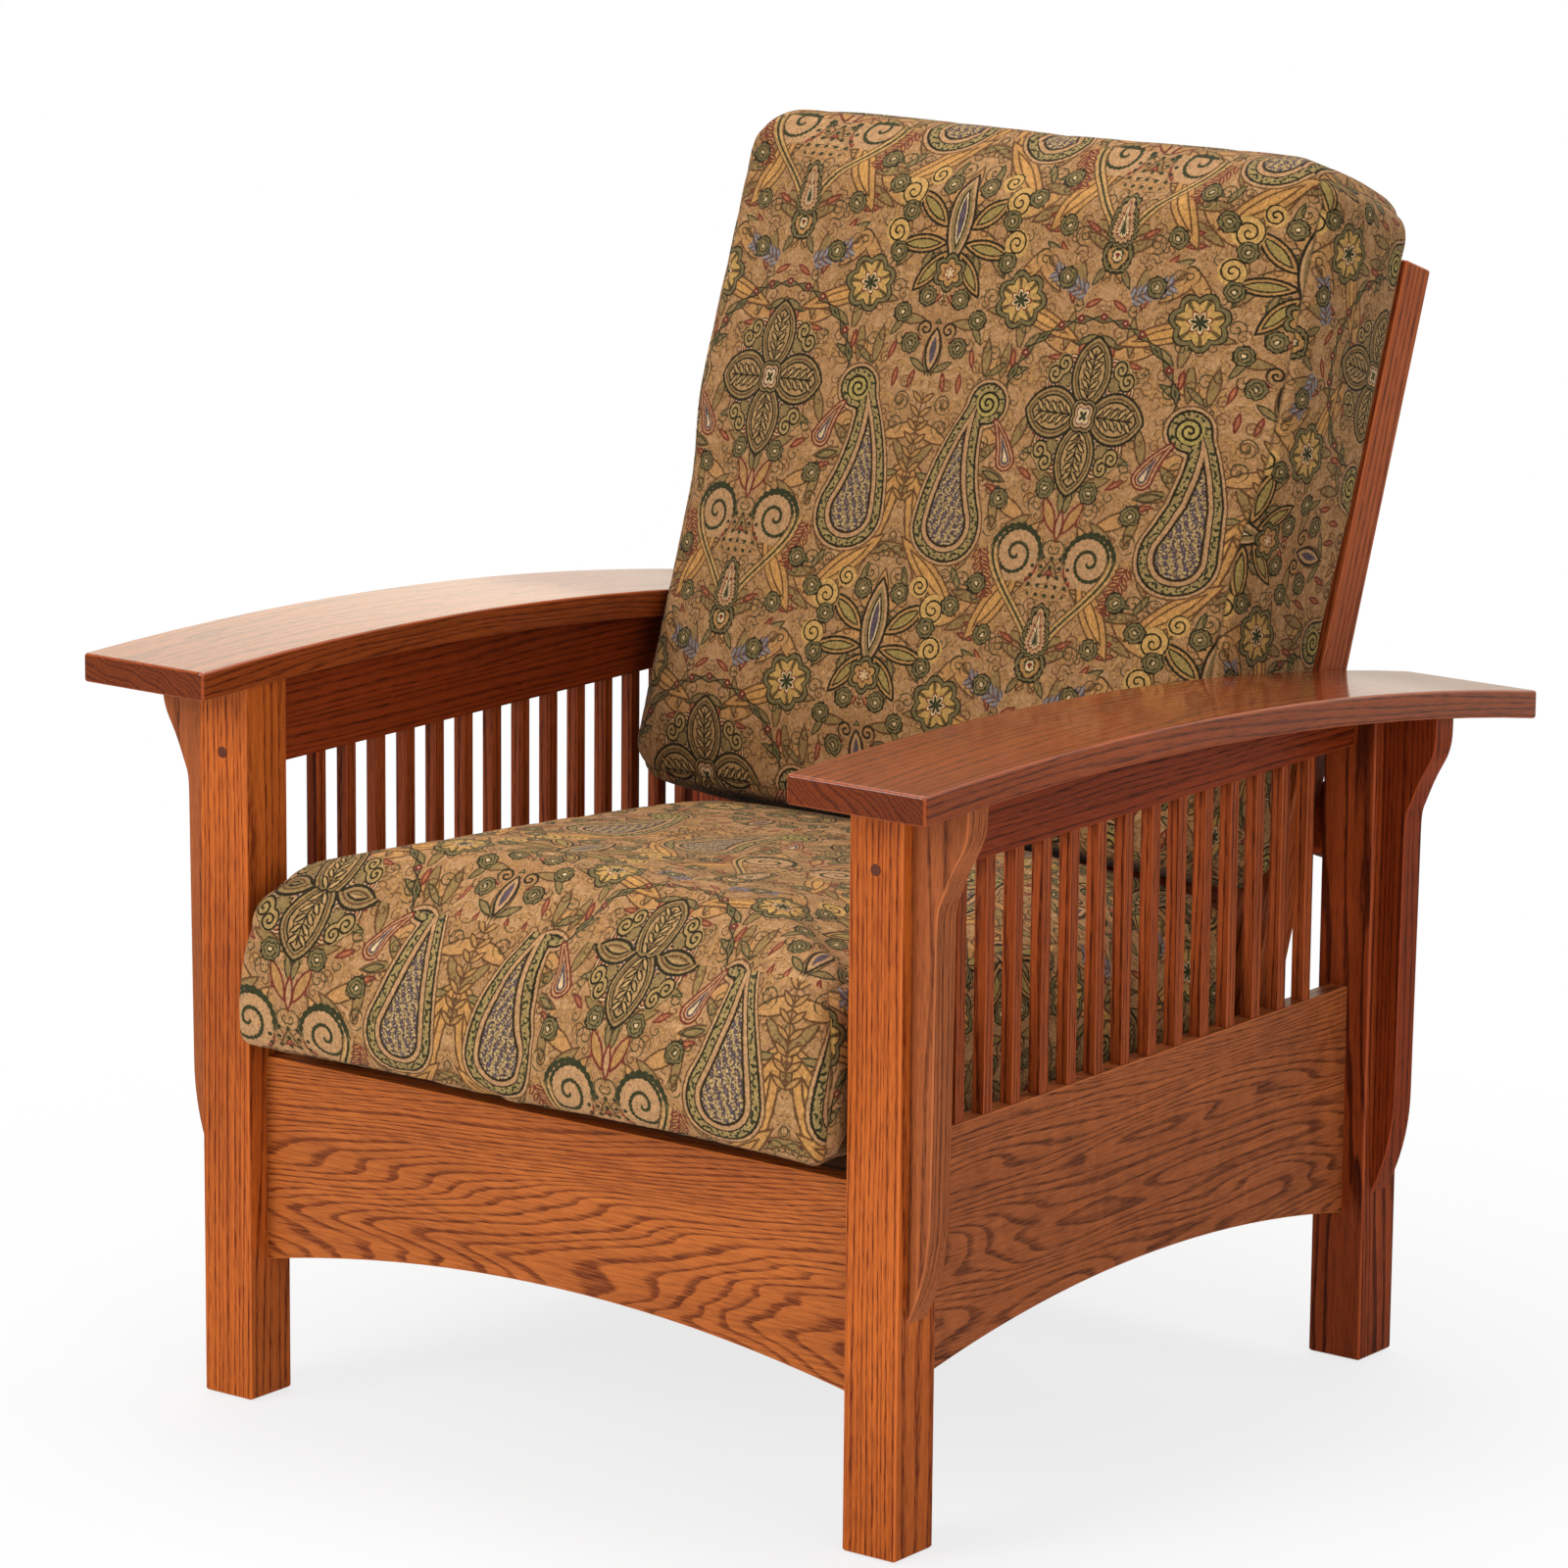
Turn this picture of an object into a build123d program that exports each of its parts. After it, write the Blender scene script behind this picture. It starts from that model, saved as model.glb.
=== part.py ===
from build123d import *
import os
from math import cos, radians, sin, sqrt, tan

# Mission style reclining armchair: bowed flat arms on four square posts, spindle sides,
# arched aprons, and a ladder back that tilts on two bolts and leans on a support rod.
# All sizes are millimetres. +Z is up, +X is the right of someone who looks at the front,
# and the front faces -Y. The sub-parts are drawn with y = 0 on the front faces of the
# front posts, and are moved at the end so that the origin lies on the floor, in the
# middle of the whole chair.

# Posts and floor glides
frame_width = 722.0            # over the outer faces of the posts
frame_depth = 730.0            # front faces of the front posts to rear faces of the rear posts
post_size = 52.0
post_ease = 3.0
glide_thickness = 2.0
glide_diameter = 25.0
plug_diameter = 9.5
plug_depth = 6.0
plug_proud = 0.6
plug_drop = 60.4               # middle of a plug, below the underside of the arm

# Bowed arms
arm_width = 132.0
arm_thickness = 24.0
arm_inset = 12.4               # inner edge of an arm, inboard of the post's inner face
arm_front_overhang = 66.0
arm_rear_overhang = 98.0
arm_crown_height = 642.0       # top face at the highest place of the bow
arm_crown_back = 95.0          # that place, behind the front faces of the front posts
arm_bow_radius = 4142.0
arm_corner_radius = 4.0
arm_ease = 2.5

# Aprons between the posts, front and rear
apron_thickness = 21.0
apron_recess = 22.8
apron_height = 176.0
apron_seat_gap = 15.0          # top of the front apron, below the seat cushion's front
apron_arch_rise = 32.6

# Side panels, top side rails and spindles
side_thickness = 19.0
side_recess = 22.0
panel_step = 34.5              # top of a side panel, above the tops of the aprons
panel_height = 200.5
panel_arch_rise = 31.5
top_rail_rear_depth = 35.0     # depth of a top side rail where it meets the rear post
spindle_count = 14
spindle_size = 12.0
spindle_end_gap = 55.45        # between a post and the nearest spindle
spindle_setback = 2.0
spindle_stub = 6.0
spindle_ease = 1.0
board_ease = 1.5
curved_edge_bevel = 1.2

# Joinery
tenon_thickness = 10.0
tenon_shoulder = 16.0
apron_tenon_length = 24.0
side_tenon_length = 12.0
post_tenon_size = 26.0
post_tenon_length = 14.0
joint_clearance = 0.1
glue_line = 0.2
cut_overrun = 30.0

# Corbels under the arms
corbel_height = 423.0
corbel_reach = 52.5
corbel_thickness = 27.0

# Seat frame
seat_slope = 5.0
seat_front_height = 312.0      # underside of the seat cushion at its front
seat_cushion_overhang = 19.0   # front of the seat cushion, ahead of the front posts
seat_rail_thickness = 20.0
seat_rail_height = 55.0
seat_slat_count = 7
seat_slat_width = 56.0
seat_slat_thickness = 12.0
seat_slat_end_gap = 1.0
seat_slats_front_gap = 1.0     # between the front posts and the first slat
seat_slats_back_gap = 31.5     # rear edge of the last slat, ahead of the pivot
soft_gap = 0.4

# Tilting back frame
back_lean = 19.4               # degrees from upright, as it stands
back_recline = 14.0            # degrees that it leans back further
pivot_inset = 138.5            # pivot, ahead of the rear faces of the rear posts
pivot_rise = 5.5               # pivot, above the middle of the seat rail
back_side_clearance = 5.9      # between a stile and the inner edge of the arm
stile_width = 42.0
stile_depth = 41.0
stile_top = 747.0              # along the stile, above the pivot
stile_foot = 32.0              # along the stile, below the pivot
stile_ease = 3.0
stile_foot_radius = 9.0
crest_rail_height = 90.0
crest_rail_thickness = 24.0
crest_rail_drop = 6.0          # top of the crest rail, below the tops of the stiles
bottom_rail_height = 60.0
bottom_rail_rise = 50.0        # its lower edge, above the pivot
ladder_count = 5
ladder_height = 52.0
ladder_thickness = 14.0
ladder_stub = 10.0
back_tenon_length = 22.0
back_tenon_shoulder = 10.0

# Pivot hardware
pivot_bolt_diameter = 10.0
pivot_head_diameter = 18.0
pivot_head_thickness = 6.0
pivot_running_clearance = 0.05
pivot_bolt_end_gap = 3.0
spacer_diameter = 24.0
washer_thickness = 2.0
pivot_side_play = 0.3

# Support rod and slotted racks
rod_diameter = 22.0
rod_ease = 2.0
rod_drop = 108.4               # middle of the rod, below the arm where the rear post starts
rod_clearance = 0.3
rod_end_gap = 4.0
rack_slope = 20.0
rack_thickness = 12.0
rack_front = 26.0
rack_rear = 23.0
rack_above = 30.0
rack_below = 36.0
rack_corner_radius = 10.0
rack_notches = 4
rack_notch_drop = 4.0
rack_screw_forward = 8.0
rack_screw_up = 22.0
rack_screw_down = 27.0

# Wood screws
screw_diameter = 4.0
screw_head_diameter = 8.0
screw_head_depth = 3.0
rack_screw_length = 30.0
seat_rail_screw_length = 30.0
seat_rail_screw_count = 4
seat_slat_screw_length = 30.0
screw_clearance = 0.05

# Cushions
seat_cushion_side_gap = 1.0
seat_cushion_back_gap = 12.8   # rear of the seat cushion, ahead of the pivot
seat_cushion_thickness = 159.0
seat_cushion_crown = 15.0
seat_cushion_front_bulge = 13.0
back_cushion_side_gap = 0.8
back_cushion_seat_gap = 7.0    # along the back, above the line of the seat cushion's top
back_cushion_height = 603.0
back_cushion_thickness = 165.0
back_cushion_crown = 12.0
cushion_edge_radius = 34.0
cushion_draw_in = 5.0          # how far the sides pull in between the corners
cushion_side_bulge = 3.0
cushion_end_bulge = 5.0
cushion_end_crown = 6.0        # crown of the big faces where the rounded ends start
cushion_under_crown = 3.0

# Outlines as shares of the sizes that they follow
corbel_outline_shares = [      # of the reach, and of the height below the arm
    (1.000, 0.000), (0.990, 0.033), (0.925, 0.082), (0.733, 0.128),
    (0.535, 0.185), (0.447, 0.246), (0.400, 0.792), (0.000, 1.000),
]
corbel_inner_share = 0.1                    # edges nearer than this to the post stay sharp
plug_round_share = 0.9                      # edge radius of a plug, of how proud it stands
cushion_dome_shares = [0.35, 0.65, 0.85]    # sections of a domed end, of the flat it stands on
cushion_edge_shares = [0.0, 0.06, 0.20, 0.50, 1.0]    # stations of the edge, of its radius
cushion_middle_shares = [0.12, 0.22, 0.36, 0.5, 0.64, 0.78, 0.88]    # of the length
cushion_crown_power = 2.5                   # how flat the crown is along the cushion
cushion_corner_share = 0.75                 # of the edge radius, at the corners of a section
cushion_plan_share = 1.0                    # of the edge radius, at the corners seen from above
seat_front_plan_share = 0.5                 # the same, for the front of the seat cushion

# Places worked out from the sizes
half_width = frame_width / 2
inner_half = half_width - post_size
front_post_rear = post_size
rear_post_front = frame_depth - post_size
side_outer = half_width - side_recess
side_inner = side_outer - side_thickness
arm_inner = inner_half - arm_inset
arm_outer = arm_inner + arm_width
arm_front = -arm_front_overhang
arm_rear = frame_depth + arm_rear_overhang
arm_centre_height = arm_crown_height - arm_bow_radius
arm_under_radius = arm_bow_radius - arm_thickness
slope = radians(seat_slope)
lean = radians(back_lean)
pivot_back = frame_depth - pivot_inset
apron_top = seat_front_height - apron_seat_gap
apron_bottom = apron_top - apron_height
panel_top = apron_top + panel_step
panel_bottom = panel_top - panel_height
stile_outer = arm_inner - back_side_clearance
stile_inner = stile_outer - stile_width
seat_rail_inner = side_inner - seat_rail_thickness
seat_cushion_front = -seat_cushion_overhang

def bow_height(radius, y):
    """Height of an arc of the bow, at a place y behind the front posts' faces."""
    return arm_centre_height + sqrt(radius**2 - (y - arm_crown_back) ** 2)


def seat_line(y, drop):
    """Height of a line that runs parallel to the seat, a drop below the cushion."""
    return seat_front_height - (y - seat_cushion_front) * tan(slope) - drop / cos(slope)


slat_top_drop = soft_gap
rail_top_drop = slat_top_drop + seat_slat_thickness
rail_low_drop = rail_top_drop + seat_rail_height
pivot_height = seat_line(pivot_back, (rail_top_drop + rail_low_drop) / 2) + pivot_rise
top_rail_bottom = bow_height(arm_under_radius, rear_post_front) - top_rail_rear_depth
plug_height = bow_height(arm_under_radius, post_size / 2) - plug_drop
seat_cushion_length = (pivot_back - seat_cushion_back_gap - seat_cushion_front) / cos(slope)

# Frames of the seat and of the back: X runs across, Y along the cushion, Z out of it
seat_plane = Plane(
    origin=(0, seat_cushion_front, seat_front_height),
    x_dir=(1, 0, 0),
    z_dir=(0, sin(slope), cos(slope)),
)
back_plane = Plane(
    origin=(0, pivot_back, pivot_height),
    x_dir=(1, 0, 0),
    z_dir=(0, -cos(lean), sin(lean)),
)


def block(x0, x1, y0, y1, z0, z1):
    """Box between two corners."""
    return Pos((x0 + x1) / 2, (y0 + y1) / 2, (z0 + z1) / 2) * Box(x1 - x0, y1 - y0, z1 - z0)


def eased(solid, axis, radius):
    """Round the edges that run along an axis."""
    return fillet(solid.edges().filter_by(axis), radius)


def side_board(outline, x0, x1):
    """Board with an outline in Y and Z, from x0 to x1."""
    return extrude(Plane.YZ.offset(x0) * outline, amount=x1 - x0)


def both_sides(node, solid):
    """The same piece for the right side, and mirrored for the left side."""
    return {f"{node}_right": solid, f"{node}_left": mirror(solid, about=Plane.YZ)}


def above_arm_underside(gap):
    """Everything above a line that lies a gap below the underside of the arms."""
    radius = arm_under_radius - gap
    y0 = arm_front - cut_overrun
    y1 = arm_rear + cut_overrun
    top = arm_crown_height + cut_overrun
    lower = ThreePointArc(
        (y0, bow_height(radius, y0)),
        (arm_crown_back, bow_height(radius, arm_crown_back)),
        (y1, bow_height(radius, y1)),
    )
    outline = make_face([
        lower,
        Line(lower @ 1, (y1, top)),
        Line((y1, top), (y0, top)),
        Line((y0, top), lower @ 0),
    ])
    reach = half_width + corbel_reach + cut_overrun
    return side_board(outline, 0, reach)


def cylinder_x(x0, x1, y, z, radius):
    """Round bar along X."""
    return Pos((x0 + x1) / 2, y, z) * Rot(0, 90, 0) * Cylinder(radius, x1 - x0)


def screw(length, extra=0.0):
    """Countersunk wood screw that points down -Z, with its head flush at z = 0."""
    shank = Pos(0, 0, -length / 2) * Cylinder(screw_diameter / 2 + extra, length)
    head = Pos(0, 0, -screw_head_depth / 2) * Cone(
        screw_diameter / 2 + extra, screw_head_diameter / 2 + extra, screw_head_depth
    )
    return shank + head


arm_cut = above_arm_underside(glue_line)


def arched_board(half_length, top, bottom, rise, thickness):
    """Board along X with an arched lower edge, from y = 0 to y = thickness."""
    radius = (half_length**2 + rise**2) / (2 * rise)
    reach = half_length + cut_overrun
    low = bottom + rise - radius + sqrt(radius**2 - reach**2)
    outline = make_face([
        Line((-reach, top), (reach, top)),
        Line((reach, top), (reach, low)),
        ThreePointArc((reach, low), (0, bottom + rise), (-reach, low)),
        Line((-reach, low), (-reach, top)),
    ])
    board = extrude(Plane.XZ * outline, amount=-thickness)
    long_edges = board.faces().filter_by(Axis.Y).edges().filter_by(
        lambda edge: edge.length > half_length
    )
    board = chamfer(long_edges, curved_edge_bevel)
    return board & block(-half_length, half_length, 0, thickness, low, top)


def apron(y0, y1):
    """Arched apron between the posts, with a tenon at each end."""
    board = Pos(0, y0, 0) * arched_board(
        inner_half, apron_top, apron_bottom, apron_arch_rise, y1 - y0
    )
    middle = (y0 + y1) / 2
    reach = inner_half + apron_tenon_length
    tenon = block(
        -reach, reach, middle - tenon_thickness / 2, middle + tenon_thickness / 2,
        apron_bottom + tenon_shoulder + apron_arch_rise, apron_top - tenon_shoulder,
    )
    return board + tenon


def apron_mortise(y0, y1):
    """Pocket for an apron's tenon, in the right post."""
    middle = (y0 + y1) / 2
    half = tenon_thickness / 2 + joint_clearance
    return block(
        inner_half - cut_overrun, inner_half + apron_tenon_length + joint_clearance,
        middle - half, middle + half,
        apron_bottom + tenon_shoulder + apron_arch_rise - joint_clearance,
        apron_top - tenon_shoulder + joint_clearance,
    )


front_apron_y = (apron_recess, apron_recess + apron_thickness)
rear_apron_y = (frame_depth - apron_recess - apron_thickness, frame_depth - apron_recess)
side_middle = (side_outer + side_inner) / 2
top_rail_tenon_top = bow_height(arm_under_radius, rear_post_front) - tenon_shoulder


def side_tenons(z0, z1, extra):
    """Both stub tenons of a side board, or the pockets for them."""
    half = tenon_thickness / 2 + extra
    reach = side_tenon_length + extra
    return block(
        side_middle - half, side_middle + half,
        front_post_rear - reach, rear_post_front + reach, z0 - extra, z1 + extra,
    )


def panel_tenons(extra=0.0):
    return side_tenons(
        panel_bottom + tenon_shoulder + panel_arch_rise, panel_top - tenon_shoulder, extra
    )


def top_rail_tenons(extra=0.0):
    return side_tenons(top_rail_bottom + board_ease, top_rail_tenon_top, extra)


def spindle_places():
    """Middle of each spindle, behind the front posts' faces."""
    first = front_post_rear + spindle_end_gap + spindle_size / 2
    last = rear_post_front - spindle_end_gap - spindle_size / 2
    pitch = (last - first) / (spindle_count - 1)
    return [first + index * pitch for index in range(spindle_count)]


spindle_outer = side_outer - spindle_setback
spindle_x = spindle_outer - spindle_size / 2


def spindle_blank(extra=0.0):
    """One spindle at y = 0, with its ends let into the boards."""
    half = spindle_size / 2 + extra
    return block(
        spindle_x - half, spindle_x + half, -half, half,
        panel_top - spindle_stub - extra, top_rail_bottom + spindle_stub + extra,
    )


def spindle_pockets():
    return [Pos(0, y, 0) * spindle_blank(joint_clearance) for y in spindle_places()]


def post(y0):
    """Right post with its front face at y0: its mortises are cut by the caller."""
    z0 = glide_thickness
    solid = block(inner_half, half_width, y0, y0 + post_size, z0, arm_crown_height)
    solid = eased(solid, Axis.Z, post_ease) - arm_cut
    foot_edges = solid.faces().sort_by(Axis.Z)[0].edges()
    solid = chamfer(foot_edges, post_ease / 2)
    return solid + post_tenon(y0)


def post_tenon(y0, extra=0.0):
    """Square tenon on top of a post, under the arm's top face."""
    centre_x = half_width - post_size / 2
    centre_y = y0 + post_size / 2
    half = post_tenon_size / 2 + extra
    seat = bow_height(arm_under_radius, centre_y)
    return block(
        centre_x - half, centre_x + half, centre_y - half, centre_y + half,
        seat - cut_overrun, seat + post_tenon_length + extra,
    )


def peg(y0, y1, diameter):
    """Round peg in the front face of the right front post, from y0 to y1."""
    place = Pos(half_width - post_size / 2, (y0 + y1) / 2, plug_height)
    return place * Rot(90, 0, 0) * Cylinder(diameter / 2, y1 - y0)


def plug():
    """Wood plug, slightly proud and rounded."""
    solid = peg(-plug_proud, plug_depth, plug_diameter)
    rim = solid.faces().sort_by(Axis.Y)[0].edges()
    return fillet(rim, plug_proud * plug_round_share)


def build_posts():
    front = post(0) - apron_mortise(*front_apron_y)
    front = front - peg(-cut_overrun, plug_depth, plug_diameter + glue_line)
    rear = post(rear_post_front) - apron_mortise(*rear_apron_y)
    pockets = panel_tenons(joint_clearance) + top_rail_tenons(joint_clearance)
    front = front - pockets
    rear = rear - pockets
    for hole in rack_screws(screw_clearance):
        rear = rear - hole
    return {**both_sides("front_post", front), **both_sides("rear_post", rear)}


def build_arms():
    top = ThreePointArc(
        (arm_front, bow_height(arm_bow_radius, arm_front)),
        (arm_crown_back, arm_crown_height),
        (arm_rear, bow_height(arm_bow_radius, arm_rear)),
    )
    under = ThreePointArc(
        (arm_rear, bow_height(arm_under_radius, arm_rear)),
        (arm_crown_back, bow_height(arm_under_radius, arm_crown_back)),
        (arm_front, bow_height(arm_under_radius, arm_front)),
    )
    outline = make_face([top, Line(top @ 1, under @ 0), under, Line(under @ 1, top @ 0)])
    arm = side_board(outline, arm_inner, arm_outer)
    arm = eased(arm, Axis.Z, arm_corner_radius)
    bowed_faces = arm.faces().sort_by(SortBy.AREA)[-2:]
    arm = fillet(bowed_faces.edges(), arm_ease)
    arm = arm - post_tenon(0, joint_clearance) - post_tenon(rear_post_front, joint_clearance)
    return both_sides("arm", arm)


def corbel_blank():
    """Corbel outline against x = 0, hanging down from z = 0."""
    p = [(x * corbel_reach, -z * corbel_height) for x, z in corbel_outline_shares]
    upper = Line((corbel_reach, cut_overrun), p[1])
    shank = Line(p[5], p[6])
    tip = TangentArc(p[6], p[7], tangent=shank % 1)
    past = tip @ 1 + (tip % 1) * corbel_thickness
    outline = make_face([
        Line((past.X, cut_overrun), (corbel_reach, cut_overrun)),
        upper,
        Spline(p[1], p[2], p[3], p[4], p[5], tangents=[upper % 1, shank % 0]),
        shank,
        tip,
        Line(tip @ 1, past),
        Line(past, (past.X, cut_overrun)),
    ])
    board = extrude(Plane.XZ.offset(-corbel_thickness / 2) * outline, amount=corbel_thickness)
    curved = board.faces().filter_by(Axis.Y).edges().filter_by(
        lambda edge: edge.center().X > corbel_reach * corbel_inner_share
        and edge.center().Z < cut_overrun / 2
    )
    board = chamfer(curved, curved_edge_bevel)
    half = corbel_thickness / 2
    return board & block(0, corbel_reach, -half, half, -corbel_height, cut_overrun)


def build_corbels():
    blank = corbel_blank()
    nodes = {}
    for name, y0 in (("front_corbel", 0), ("rear_corbel", rear_post_front)):
        middle = y0 + post_size / 2
        placed = Pos(half_width, middle, bow_height(arm_under_radius, middle)) * blank
        nodes.update(both_sides(name, placed - arm_cut))
    return nodes


def build_aprons():
    return {"front_apron": apron(*front_apron_y), "rear_apron": apron(*rear_apron_y)}


def build_sides():
    half_length = (rear_post_front - front_post_rear) / 2
    panel = Pos(side_outer, frame_depth / 2, 0) * Rot(0, 0, 90) * arched_board(
        half_length, panel_top, panel_bottom, panel_arch_rise, side_thickness
    )
    panel = panel + panel_tenons()
    rail = block(
        side_inner, side_outer, front_post_rear, rear_post_front,
        top_rail_bottom, arm_crown_height,
    )
    rail = rail - arm_cut
    lower_edges = rail.faces().sort_by(Axis.Z)[0].edges().filter_by(Axis.Y)
    rail = fillet(lower_edges, board_ease) + top_rail_tenons()
    for pocket in spindle_pockets():
        panel = panel - pocket
        rail = rail - pocket
    for hole in seat_rail_screws(screw_clearance):
        panel = panel - hole
    one = eased(spindle_blank(), Axis.Z, spindle_ease)
    spindles = [Pos(0, y, 0) * one for y in spindle_places()]
    return {
        **both_sides("side_panel", panel),
        **both_sides("top_side_rail", rail),
        "spindles_right": Compound(spindles),
        "spindles_left": Compound([mirror(each, about=Plane.YZ) for each in spindles]),
    }


def seat_rail_screws(extra=0.0):
    """Screws from the inner face of the right seat rail into the side panel."""
    span = rear_post_front - front_post_rear
    screws = []
    for index in range(seat_rail_screw_count):
        y = front_post_rear + span * (index + 0.5) / seat_rail_screw_count
        z = seat_line(y, (rail_top_drop + rail_low_drop) / 2)
        place = Plane(origin=(seat_rail_inner, y, z), x_dir=(0, 1, 0), z_dir=(-1, 0, 0))
        screws.append(place * screw(seat_rail_screw_length, extra))
    return screws


def seat_slat_middles():
    """Middle of each seat slat, along the seat from the front of the cushion."""
    start = post_size + seat_slats_front_gap - seat_cushion_front
    end = pivot_back - seat_slats_back_gap - seat_cushion_front
    first = start / cos(slope) + seat_slat_width / 2
    last = end / cos(slope) - seat_slat_width / 2
    step = (last - first) / (seat_slat_count - 1)
    return [first + index * step for index in range(seat_slat_count)]


def seat_slat_screws(extra=0.0):
    """Screws through the ends of the seat slats, on the right side."""
    x = side_inner - seat_rail_thickness / 2
    return [
        seat_plane * Pos(x, y, -slat_top_drop) * screw(seat_slat_screw_length, extra)
        for y in seat_slat_middles()
    ]


def build_seat_frame():
    outline = make_face(Polyline(
        (front_post_rear, seat_line(front_post_rear, rail_top_drop)),
        (rear_post_front, seat_line(rear_post_front, rail_top_drop)),
        (rear_post_front, seat_line(rear_post_front, rail_low_drop)),
        (front_post_rear, seat_line(front_post_rear, rail_low_drop)),
        close=True,
    ))
    rail = side_board(outline, seat_rail_inner, side_inner)
    hole_radius = pivot_bolt_diameter / 2 + pivot_running_clearance
    rail = rail - cylinder_x(
        seat_rail_inner - cut_overrun, side_inner + cut_overrun,
        pivot_back, pivot_height, hole_radius,
    )
    for hole in seat_rail_screws(screw_clearance) + seat_slat_screws(screw_clearance):
        rail = rail - hole
    reach = side_inner - seat_slat_end_gap
    slat = block(
        -reach, reach, -seat_slat_width / 2, seat_slat_width / 2,
        -slat_top_drop - seat_slat_thickness, -slat_top_drop,
    )
    slat = eased(slat, Axis.X, board_ease)
    left_screws = [mirror(each, about=Plane.YZ) for each in seat_slat_screws()]
    screw_x = side_inner - seat_rail_thickness / 2
    hole = screw(seat_slat_screw_length, screw_clearance)
    slat = slat - Pos(screw_x, 0, -slat_top_drop) * hole
    slat = slat - Pos(-screw_x, 0, -slat_top_drop) * hole
    slats = [seat_plane * Pos(0, y, 0) * slat for y in seat_slat_middles()]
    rail_screws = seat_rail_screws()
    return {
        **both_sides("seat_rail", rail),
        "seat_slats": Compound(slats),
        "seat_slat_screws": Compound(seat_slat_screws() + left_screws),
        "seat_rail_screws": Compound(
            rail_screws + [mirror(each, about=Plane.YZ) for each in rail_screws]
        ),
    }


def back_rail(x_reach, low, high, thickness, tenon):
    """Rail of the back frame in the back's own frame, flush with the stiles' fronts."""
    front = stile_depth / 2
    board = block(-x_reach, x_reach, low, high, front - thickness, front)
    board = eased(board, Axis.X, board_ease)
    return board + tenon if tenon else board


def back_tenon(low, high, thickness, extra=0.0):
    """Tenons of a back rail through both ends, or the pockets for them."""
    middle = stile_depth / 2 - thickness / 2
    half = tenon_thickness / 2 + extra
    reach = stile_inner + back_tenon_length + extra
    return block(
        -reach, reach, low + back_tenon_shoulder - extra, high - back_tenon_shoulder + extra,
        middle - half, middle + half,
    )


crest_high = stile_top - crest_rail_drop
crest_low = crest_high - crest_rail_height
bottom_low = bottom_rail_rise
bottom_high = bottom_low + bottom_rail_height


def ladder_lows():
    """Lower edge of each ladder slat, along the back above the pivot."""
    room = crest_low - bottom_high
    gap = (room - ladder_count * ladder_height) / (ladder_count + 1)
    return [bottom_high + gap + index * (ladder_height + gap) for index in range(ladder_count)]


def ladder_slat(low, extra=0.0):
    """Horizontal slat that is let into both stiles, in the middle of their depth."""
    reach = stile_inner + ladder_stub + extra
    half = ladder_thickness / 2 + extra
    solid = block(-reach, reach, low - extra, low + ladder_height + extra, -half, half)
    return solid if extra else eased(solid, Axis.X, board_ease)


def build_back_frame():
    half = stile_depth / 2
    stile = block(stile_inner, stile_outer, -stile_foot, stile_top, -half, half)
    foot_edges = stile.faces().sort_by(Axis.Y)[0].edges().filter_by(Axis.X)
    stile = fillet(foot_edges, stile_foot_radius)
    long_edges = stile.edges().filter_by(Axis.Y)
    stile = fillet(long_edges, stile_ease)
    stile = fillet(stile.faces().sort_by(Axis.Y)[-1].edges(), stile_ease * 0.9)
    hole_radius = pivot_bolt_diameter / 2 + pivot_running_clearance
    stile = stile - cylinder_x(
        stile_inner - cut_overrun, stile_outer + cut_overrun, 0, 0, hole_radius
    )
    clear = joint_clearance
    stile = stile - back_tenon(crest_low, crest_high, crest_rail_thickness, clear)
    stile = stile - back_tenon(bottom_low, bottom_high, crest_rail_thickness, clear)
    for low in ladder_lows():
        stile = stile - ladder_slat(low, clear)
    crest_tenon = back_tenon(crest_low, crest_high, crest_rail_thickness)
    bottom_tenon = back_tenon(bottom_low, bottom_high, crest_rail_thickness)
    crest = back_rail(stile_inner, crest_low, crest_high, crest_rail_thickness, crest_tenon)
    bottom = back_rail(stile_inner, bottom_low, bottom_high, crest_rail_thickness, bottom_tenon)
    ladders = [back_plane * ladder_slat(low) for low in ladder_lows()]
    return {
        **both_sides("back_stile", back_plane * stile),
        "back_crest_rail": back_plane * crest,
        "back_bottom_rail": back_plane * bottom,
        "back_ladder_slats": Compound(ladders),
    }


def build_pivots():
    y = pivot_back
    z = pivot_height
    radius = pivot_bolt_diameter / 2
    bore = radius + pivot_running_clearance
    washer_outer = stile_inner - pivot_side_play
    head_outer = washer_outer - washer_thickness
    shank = cylinder_x(head_outer, side_inner - pivot_bolt_end_gap, y, z, radius)
    head = cylinder_x(head_outer - pivot_head_thickness, head_outer, y, z, pivot_head_diameter / 2)
    rim = head.faces().sort_by(Axis.X)[0].edges()
    bolt = fillet(rim, pivot_head_thickness / 3) + shank
    disc_radius = spacer_diameter / 2
    spacer = cylinder_x(stile_outer + pivot_side_play, seat_rail_inner, y, z, disc_radius)
    spacer = spacer - cylinder_x(stile_outer, side_inner, y, z, bore)
    washer = cylinder_x(head_outer, washer_outer, y, z, disc_radius)
    washer = washer - cylinder_x(head_outer - washer_thickness, stile_outer, y, z, bore)
    pairs = {"pivot_bolts": bolt, "pivot_spacers": spacer, "pivot_washers": washer}
    return {
        name: Compound([solid, mirror(solid, about=Plane.YZ)]) for name, solid in pairs.items()
    }


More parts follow.
